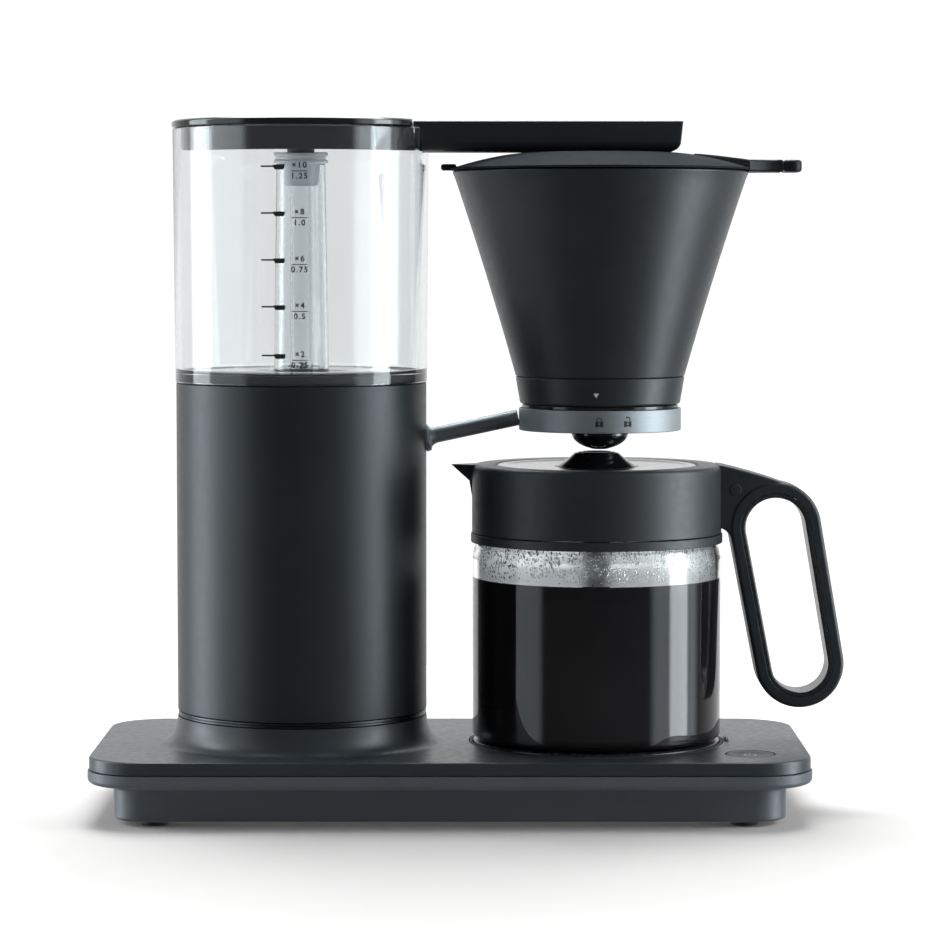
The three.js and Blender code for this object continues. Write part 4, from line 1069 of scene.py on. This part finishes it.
def scale_marks():
    """The printed scale: a scoop, its number and the litres below a thin line."""
    parts = []
    low_row = MARK_ROWS[-1][0]
    for z, scoops, litres in MARK_ROWS:
        y = z - low_row
        grip = [(-16.6, y + 0.4), (-10.2, y + 0.4), (-10.2, y - 0.4), (-16.6, y - 0.4)]
        bowl = [(-10.6, y + 0.75, 0.2), (-4.7, y + 0.75, 0.2), (-4.9, y - 1.6, 0.9), (-9.8, y - 1.6, 0.9)]
        left, right = MARK_X - 3.9, MARK_X + 3.9
        rule = [(left, y - 2.1), (right, y - 2.1), (right, y - 2.5), (left, y - 2.5)]
        parts.append(plate("grip", [grip], PRINT_THICK))
        parts.append(plate("bowl", [rounded(bowl)], PRINT_THICK))
        parts.append(words("×" + scoops, 4.0, MARK_X, y + 0.5))
        parts.append(plate("rule", [rule], PRINT_THICK))
        parts.append(words(litres, 3.9, MARK_X, y - 4.8))
    (low_r, low), (high_r, high) = (p[:2] for p in TANK_PROFILE[1:3])
    lean = (high_r - low_r) / (high - low)
    start = low_r + lean * (low_row - low)
    return wrapped(joined("scale_marks", parts), TOWER, start + PRINT_LIFT, low_row, lean)


piece("scale_marks", scale_marks(), "tank", "soft_black", PRINT_BLACK, weighted=False)

# ---- outlet arm ------------------------------------------------------------------------------------

ARM = {"start": 57.3, "end": 192.7, "half": 18.3, "low": 333.8, "high": 348.8}
ARM_EDGE = 5.0
ARM_ROUND = 4.3
ARM_LEAN = 1.6


def arm_end(z):
    """Where the arm ends at this height: it leans in and is rounded at the bottom."""
    low, high = ARM["low"], ARM["high"]
    lean = ARM_LEAN * (high - z) / (high - low)
    drop = max(0.0, min(1.0, (low + ARM_ROUND - z) / ARM_ROUND))
    return ARM["end"] - lean - ARM_ROUND * (1 - math.sqrt(1 - drop * drop))


def oblong(start, end, half, radius):
    """A rectangle along the arm with rounded corners."""
    corners = [(start, -half), (end, -half), (end, half), (start, half)]
    return rounded([(x, y, radius) for x, y in corners])


def outlet_arm():
    """The arm as a row of sections, closed by shrinking sections that follow its end face."""
    start, half, low, high = (ARM[key] for key in ("start", "half", "low", "high"))
    bottom = [(half, low, ARM_EDGE), (-half, low, ARM_EDGE)]
    section = rounded([(half, high, 0.7), *bottom, (-half, high, 0.7)])
    centre_z = (low + high) / 2
    loops = [[(TOWER[0] + start, 0, centre_z)]]

    def add(scale, place):
        loops.append([])
        for y, z in section:
            z = centre_z + (z - centre_z) * scale
            loops[-1].append((TOWER[0] + place(z), y * scale, z))

    edge = 0.7
    add(0.985, lambda z: start)
    add(1.0, lambda z: start + 0.3)
    for i in range(1, 13):
        add(1.0, lambda z: start + (arm_end(z) - 2 * edge - start) * i / 12)
    for i in range(1, 5):
        a = math.pi / 2 * i / 4
        add(1 - edge * (1 - math.cos(a)) / half, lambda z: arm_end(z) - edge * (1 - math.sin(a)))
    for i in range(1, 12):
        add((1 - edge / half) * (1 - i / 12), arm_end)
    loops.append([(TOWER[0] + arm_end(centre_z), 0, centre_z)])
    tongue = plate("tongue", [oblong(-16.0, start + 2, 13.0, 1.5)], 7.2, 0.8)
    parts = [make_mesh("shell", *skin(loops)), moved(tongue, TOWER[0], 0, low + 3.6)]
    return joined("outlet_arm_fine", parts)


def arm_underside():
    """The strip that closes the water way, and the spigot that sits in the silicone cup."""
    strip = plate("strip", [oblong(-13.7, 184.4, 10.7, 1.2)], 1.6, 0.3)
    spigot = turned("spigot", TOWER, [(4.8, 326, 0.3), (6.9, 326, 0.5), (6.9, 334.2), (4.8, 334.2)], SMALL)
    return joined("arm_underside_fine", [moved(strip, TOWER[0], 0, 334.4), spigot])


fine("outlet_arm", outlet_arm())
fine("arm_underside", arm_underside())

# ---- jug -------------------------------------------------------------------------------------------

GLASS_PROFILE = [
    (0, 36.4), (53, 36.4, 4), (57, 35.2, 2), (60.4, 35.2, 2.5), (63.3, 38.2, 2.5), (63.3, 129.5, 6),
    (61.8, 134.8, 5), (57.5, 141.5, 4), (57.5, 168.5, 1.1), (55.1, 168.5, 1.1), (55.1, 140.3, 4),
    (59.6, 133.6, 4), (60.9, 128.0, 5), (60.9, 41.5, 3), (58.2, 38.9, 3), (0, 38.9),
]
lathe("jug_glass", JUG, GLASS_PROFILE)

COFFEE_TOP = 117.3
COFFEE_PROFILE = [
    (0, 37.6), (59.4, 37.6, 3), (61.7, 40.4, 3), (61.7, 112.0, 20), (61.2, COFFEE_TOP + 0.9),
    (60.4, COFFEE_TOP + 0.25, 0.8), (58.8, COFFEE_TOP, 1.0), (0, COFFEE_TOP),
]
piece("coffee", turned("coffee", JUG, COFFEE_PROFILE), "jug", "gloss_black", COFFEE)

BAND_PROFILE = [(60.0, 140.0), (63.0, 136.0), (64.1, 135.9, 0.4), (64.1, 140.5, 0.5), (60.0, 140.5)]
lathe("jug_band", JUG, BAND_PROFILE)

SPOUT = {"tip": 74.2, "root": 165.2, "top": 175.4, "half": 15.0, "at": 52.0}
COLLAR_R = 63.5
COLLAR_IN = 51.3
COLLAR_EDGE = 2.4
COLLAR_SIDES = 288


def spout_reach(angle, z):
    """How far out the pouring lip stands at this angle and height."""
    off = (angle - 1.5 * math.pi + math.pi) % (2 * math.pi) - math.pi
    if abs(off) > 0.5:
        return 0.0
    share = max(0.0, min(1.0, (z - SPOUT["root"]) / (SPOUT["top"] - SPOUT["root"])))
    tip = COLLAR_R - 0.6 + (SPOUT["tip"] - COLLAR_R + 0.6) * share
    run, rise = tip - SPOUT["at"], SPOUT["half"] * (0.5 + 0.5 * share)
    return tip * rise / (rise * math.cos(off) + run * abs(math.sin(off)))


def collar_shape(angle, r, z):
    """Draws the collar's wall out to the pouring lip."""
    reach = spout_reach(angle, z)
    lowest = max(SPOUT["root"] - 0.5, 166.5 - 4 * (r < COLLAR_R - 0.01))
    if r <= COLLAR_R - 10 or z <= lowest or reach <= r:
        return r, z
    if z > SPOUT["top"] - 0.3 and r < COLLAR_R - COLLAR_EDGE + 0.3:
        return reach - 1.2, SPOUT["top"]
    return reach, z


def jug_collar():
    r, top = COLLAR_R, SPOUT["top"]
    side = [(r, z) for z in (150.0, 158.0, 163.0, 165.2, 166.8, 168.4, 170.0, 171.6)]
    profile = [
        (r - 3.0, 140.8),
        (r, 140.8, 0.4),
        *side,
        *arc(r - COLLAR_EDGE, top - COLLAR_EDGE, COLLAR_EDGE, 0, 90, 8),
        (COLLAR_IN + 1.0, top), (COLLAR_IN, top - 0.8, 0.3), (COLLAR_IN, top - 4, 0.4),
        (r - 3.0, top - 7, 2),
    ]
    return turned("jug_collar_fine", JUG, profile, COLLAR_SIDES, collar_shape)


fine("jug_collar", jug_collar())

DISC_PROFILE = [
    (9.2, 171.0), (48.8, 171.0, 0.4), (50.8, 172.6, 0.4), (50.8, 174.7, 0.5), (49.9, 175.2, 0.8),
    (47.0, 175.15, 1.5), (44.5, 174.65, 1.5), (21.2, 174.3), (20.9, 172.5), (9.2, 172.5),
]
BOSS_PROFILE = [
    (10.0, 172.6), (20.4, 172.6), (20.6, 174.3, 1.2), (15.6, 177.6, 6), (11.9, 180.6, 1.2),
    (11.3, 181.2, 0.3), (8.9, 181.9, 0.3), (7.4, 181.9, 0.3), (7.4, 175.0), (10.0, 174.0),
]
lathe("jug_lid", JUG, DISC_PROFILE, material=JUG_LID)
piece("jug_lid_boss", turned("jug_lid_boss", JUG, BOSS_PROFILE, MEDIUM), "jug_lid", "gloss_black", GLOSS)
lathe("mixing_tube", JUG, [(5.7, 62, 0.3), (7.1, 62, 0.4), (7.1, 171.4, 0.3), (5.7, 171.4, 0.3)], SMALL)

LOOP = {"top": (90.5, 143.6, 23.2), "low": (103.1, 74.3, 22.4), "leg": 8.0, "liner": 2.4}
HANDLE_HALF = 11.5
BLOCK_HALF = 10.8


def loop_outline(out):
    """The loop moved out by this amount: two arcs, joined by the straight sides that leave them."""
    tx, tz, tr = LOOP["top"]
    lx, lz, lr = LOOP["low"]
    along = Vector((lx - tx, lz - tz))
    lean = math.degrees(math.atan2(along.y, along.x))
    tilt = math.degrees(math.acos((tr - lr) / along.length))
    top = arc(tx, tz, tr + out, lean + tilt, lean - tilt + 360, 40)
    return top + arc(lx, lz, lr + out, lean - tilt, lean + tilt, 36)


def bent(start, bend, end, steps=10):
    """Points of a quadratic curve."""
    a, b, c = Vector(start), Vector(bend), Vector(end)
    shares = [i / steps for i in range(steps + 1)]
    return [a * (1 - t) ** 2 + b * 2 * t * (1 - t) + c * t * t for t in shares]


def block_outline():
    """The block between the collar and the loop. It ends inside the loop's ring."""
    x, z, r = LOOP["top"]
    crest = bent((63.6, 175.4), (84.0, 170.6), arc(x, z, r - 0.4, 76, 76, 1)[0])
    inner = arc(x, z, r - 3.0, 72, 200, 24)
    return [(61.0, 175.6), *crest, *inner, *bent((69.4, 135.4), (67.0, 143.2), (61.0, 143.6))]


def loop_band(name, section):
    """A closed band round the loop from a section of (distance out, depth, rounding)."""
    loops = []
    for out, depth in rounded(section):
        loops.append([(JUG[0] + x, JUG[1] + depth, z) for x, z in loop_outline(out)])
    return make_mesh(name, *skin(loops, True))


def jug_handle():
    """The loop, a little thicker than the block that holds it."""
    h, inner = HANDLE_HALF, -LOOP["leg"] + LOOP["liner"] + 0.15
    loop = loop_band("loop", [(0, -h, 2.0), (0, h, 2.0), (inner, h, 0.2), (inner, -h, 0.2)])
    block = upright(plate("block", [block_outline()], 2 * BLOCK_HALF, 1.2, 4))
    return joined("jug_handle_fine", [loop, moved(block, *JUG)])


def handle_liner():
    """The thin strip inside the ring."""
    h, outer, inner = HANDLE_HALF - 0.1, -LOOP["leg"] + LOOP["liner"], -LOOP["leg"]
    section = [(outer, -h, 0.15), (outer, h, 0.15), (inner, h, 1.6), (inner, -h, 1.6)]
    return loop_band("handle_liner_fine", section)


def screw_cap():
    mesh = plate("handle_screw_cap_fine", [arc(0, 0, 3.0, 0, 360, 48)[:-1]], 1.6, 0.3)
    return moved(upright(mesh), JUG[0] + 70.1, JUG[1] - BLOCK_HALF + 0.55, 162.9)


fine("jug_handle", jug_handle())
fine("handle_liner", handle_liner(), LINER)
fine("handle_screw_cap", screw_cap())

# ---- water on the glass ----------------------------------------------------------------------------

DROPS = 7000
WET_LOW = COFFEE_TOP + 1.2
WET_HIGH = 135.6
DROP_SIDES = 7
DROP_WAVES = ((9, 0.7), (17, -1.1), (31, 0.4))
DROP_RINGS = ((1.0, 0.0), (0.82, 0.34), (0.45, 0.56), (0.0, 0.62))


def glass_in(z):
    """The inner radius of the glass where the water collects."""
    return float(np.interp(z, [128.0, 133.6, 140.3], [60.86, 59.56, 55.06]))


MIST = [(glass_in(z) - 0.5, z) for z in (WET_LOW, 128.0, 133.6, WET_HIGH)]
MIST += [(glass_in(z) - 0.6, z) for z in (WET_HIGH, 133.6, 128.0, WET_LOW)]
piece("mist", turned("mist", JUG, MIST), "jug", "clear_plastic", MIST_FILM, weighted=False)


def droplets():
    """Beads of condensed water on the inside of the glass, between the coffee and the collar."""
    rng = np.random.default_rng(11)
    points, faces = [], []
    low, high = WET_LOW + 1.5, WET_HIGH - 0.6
    count = 0
    while count < DROPS:
        angle = rng.uniform(0, 2 * math.pi)
        z = low + (high - low) * rng.uniform() ** 0.8
        wave = sum(math.sin(turns * angle + climb * z) for turns, climb in DROP_WAVES)
        if wave < -1.5 and z < high - 5:
            continue
        wall = glass_in(z)
        size = 0.17 + 0.42 * rng.uniform() ** 3.4
        squeeze = rng.uniform(0.8, 1.35)
        rings = []
        for share, rise in DROP_RINGS:
            first = len(points)
            r = wall - size * rise
            for k in range(DROP_SIDES if share else 1):
                a = 2 * math.pi * k / DROP_SIDES
                sag = 1.15 if math.sin(a) < 0 else 1.0
                turn = angle + size * share * math.cos(a) / wall
                up = size * share * squeeze * math.sin(a) * sag
                points.append((JUG[0] + r * math.sin(turn), JUG[1] - r * math.cos(turn), z + up))
            rings.append(range(first, len(points)))
        faces += bridge(rings, False)
        faces.append(tuple(reversed(rings[0])))
        count += 1
    mesh = plain_mesh("droplets", points, faces)
    mesh.shade_smooth()
    return mesh


piece("condensation", droplets(), "jug", "clear_plastic", WATER, weighted=False)

# ---- springs, and the looks of the CAD nodes that have no finer piece -------------------------------

BUTTON_SPRING = spring("button_spring", BUTTON, 5.2, 0.5, 22.3, 29.2)
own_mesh(BUTTON_SPRING)
DRIP_SPRING = spring("drip_spring", FILTER, 4.4, 0.5, 191.1, 211.7)
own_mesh(DRIP_SPRING)

for node_name, node_object in frame["nodes"].items():
    node_object.data.materials.clear()
    node_object.data.materials.append(SLOT_FINISH[SLOT_OF[node_name]])

# ---- floor, light and camera -----------------------------------------------------------------------

ROOM_R = 3.4
ROOM_H = 3.6
ROOM_BEND = 1.0
TABLE_R = 0.6
TABLE_SHADE = 0.58
TABLE_RIM_GLOW = 0.5
ROOM_SHADE = 0.1
FRONT_GLOW = 0.22
REAR_GLOW = 1.0
SKY = ((0.40, (0.075, 0.082, 0.088)), (0.66, (0.2, 0.205, 0.21)), (0.97, (1.0, 1.0, 1.0)))
LAMP_TINT = (0.87, 0.955, 1.0)
LAMP_FADE = 0.2
LAMP_UP = 0.45
LAMP_HEIGHT = 1.7
# The angle round from the camera's side, the distance, the width and the radiance.
LAMPS = {
    "left_strip": (-98.5, 1.3, 0.64, 6.2),
    "left_wide": (-72, 1.4, 1.3, 1.4),
    "right_strip": (79, 1.3, 0.56, 7.6),
    "right_wide": (76, 1.42, 1.6, 2.1),
}
TOP_LAMP = (180, 0.5, 1.3, 12.5)
TOP_UP = 1.5
TOP_HEIGHT = 1.0
TOP_AIM = Vector((0, 0, 0.05))
CAMERA_AT = (0.0005, -1.7643, 0.2853)
CAMERA_DOWN = 3.68
CAMERA_LENS = 132.6


def stage_piece(name, mesh):
    sheet = placed(name, mesh)
    return sheet


def paper(name, shade):
    """White paper, which balances the lamps' cool colour."""
    f = Finish(name)
    tone = [shade / c for c in LAMP_TINT]
    f.colours(f.noise(3, 2), tone, [1.02 * c for c in tone])
    f.rough(f.noise(40, 2), 0.85, 0.95)
    f.set(Emission_Color=(1, 1, 1, 1), Specular_IOR_Level=0.1)
    return f


def studio_table():
    """The floor near the object. The lamps light it and the object shades it."""
    mesh = turned("studio_table", (0, 0), [(0, 0), (TABLE_R / MM, 0), (TABLE_R / MM, -4), (0, -4)], 128)
    f = paper("table_paper", TABLE_SHADE)
    out = f.node("ShaderNodeVectorMath", operation="LENGTH")
    f.link(f.place, out.inputs[0])
    glow = f.span(out.outputs["Value"], 0.0, TABLE_RIM_GLOW, 0.34, TABLE_R)
    f.link(glow, f.shader.inputs["Emission Strength"])
    mesh.materials.append(f.material)
    sheet = stage_piece("studio_table", mesh)
    sheet.visible_glossy = False


def studio_room():
    """A pale floor that curves up into walls all round and closes overhead, dimmer on the camera's side."""
    inner, thick = TABLE_R - 0.01, 0.1
    profile = [
        (inner, 0.0),
        (1.2, 0.0),
        *arc(ROOM_R - ROOM_BEND, ROOM_BEND, ROOM_BEND, -90, 0, 12),
        (ROOM_R, ROOM_H), (0.0, ROOM_H), (0.0, ROOM_H + thick), (ROOM_R + thick, ROOM_H + thick),
        (ROOM_R + thick, -thick), (inner, -thick),
    ]
    mesh = turned("studio_room", (0, 0), [(r / MM, z / MM, 0) for r, z in profile], MEDIUM)
    f = paper("room_paper", ROOM_SHADE)
    split = f.node("ShaderNodeSeparateXYZ")
    f.link(f.place, split.inputs["Vector"])
    glow = f.span(split.outputs["Y"], FRONT_GLOW, REAR_GLOW, -1.6, -0.2)
    f.link(glow, f.shader.inputs["Emission Strength"])
    mesh.materials.append(f.material)
    sheet = stage_piece("studio_room", mesh)
    sheet.visible_glossy = False
    sheet.visible_diffuse = False
    sheet.visible_shadow = False


def fade_sides(light):
    """A lamp grows dim toward its left and right edges, so its reflections end softly."""
    light.use_nodes = True
    n = Nodes(light.node_tree)
    split = n.node("ShaderNodeSeparateXYZ")
    n.link(n.node("ShaderNodeNewGeometry").outputs["Parametric"], split.inputs["Vector"])
    off = n.node("ShaderNodeMath", operation="SUBTRACT")
    off.inputs[1].default_value = 0.5
    n.link(split.outputs["X"], off.inputs[0])
    size = n.node("ShaderNodeMath", operation="ABSOLUTE")
    n.link(off.outputs["Value"], size.inputs[0])
    fade = n.span(size.outputs["Value"], 1.0, 0.0, 0.5 - LAMP_FADE, 0.5, interpolation_type="SMOOTHSTEP")
    n.link(fade, n.tree.nodes["Emission"].inputs["Strength"])


def softbox(name, side, away, width, radiance, up=LAMP_UP, height=LAMP_HEIGHT):
    """A lamp that stands at an angle round from the camera's side and looks at the object."""
    light = bpy.data.lights.new(name, "AREA")
    light.shape = "RECTANGLE"
    light.size = width
    light.size_y = height
    light.energy = radiance * math.pi * width * height
    light.color = LAMP_TINT
    fade_sides(light)
    holder = placed(name, light)
    angle = math.radians(side)
    holder.location = (away * math.sin(angle), -away * math.cos(angle), up)
    holder.rotation_euler = (math.pi / 2, 0, angle)
    holder.visible_camera = False
    return holder


def studio_sky():
    """What glossy surfaces see round the studio: bright behind and overhead, dark in front."""
    world = bpy.data.worlds.new("studio")
    world.use_nodes = True
    n = Nodes(world.node_tree)
    back = n.tree.nodes["Background"]
    split = n.node("ShaderNodeSeparateXYZ")
    n.link(n.node("ShaderNodeTexCoord").outputs["Generated"], split.inputs["Vector"])
    rear = n.node("ShaderNodeValToRGB")
    stops = rear.color_ramp.elements
    stops.new(SKY[1][0])
    for stop, (position, colour) in zip(stops, SKY):
        stop.position = position
        stop.color = (*colour, 1)
    n.link(n.span(split.outputs["Y"], 0.0, 1.0, -1.0, 1.0), rear.inputs["Fac"])
    n.link(rear.outputs["Color"], back.inputs["Color"])
    back.inputs["Strength"].default_value = 1.0
    bpy.context.scene.world = world


def studio():
    studio_table()
    studio_room()
    studio_sky()
    for name, values in LAMPS.items():
        softbox(name, *values)
    top = softbox("top_softbox", *TOP_LAMP, TOP_UP, TOP_HEIGHT)
    top.rotation_euler = (TOP_AIM - top.location).to_track_quat("-Z", "Y").to_euler()
    bpy.context.scene.view_settings.view_transform = "Standard"
    bpy.context.scene.view_settings.look = "None"


def camera():
    lens = bpy.data.cameras.new("camera")
    lens.lens = CAMERA_LENS
    lens.sensor_width = 36
    lens.clip_start = 0.05
    lens.dof.use_dof = False
    holder = placed("camera", lens)
    holder.location = CAMERA_AT
    holder.rotation_euler = (math.radians(90 - CAMERA_DOWN), 0, 0)
    bpy.context.scene.camera = holder


studio()
camera()
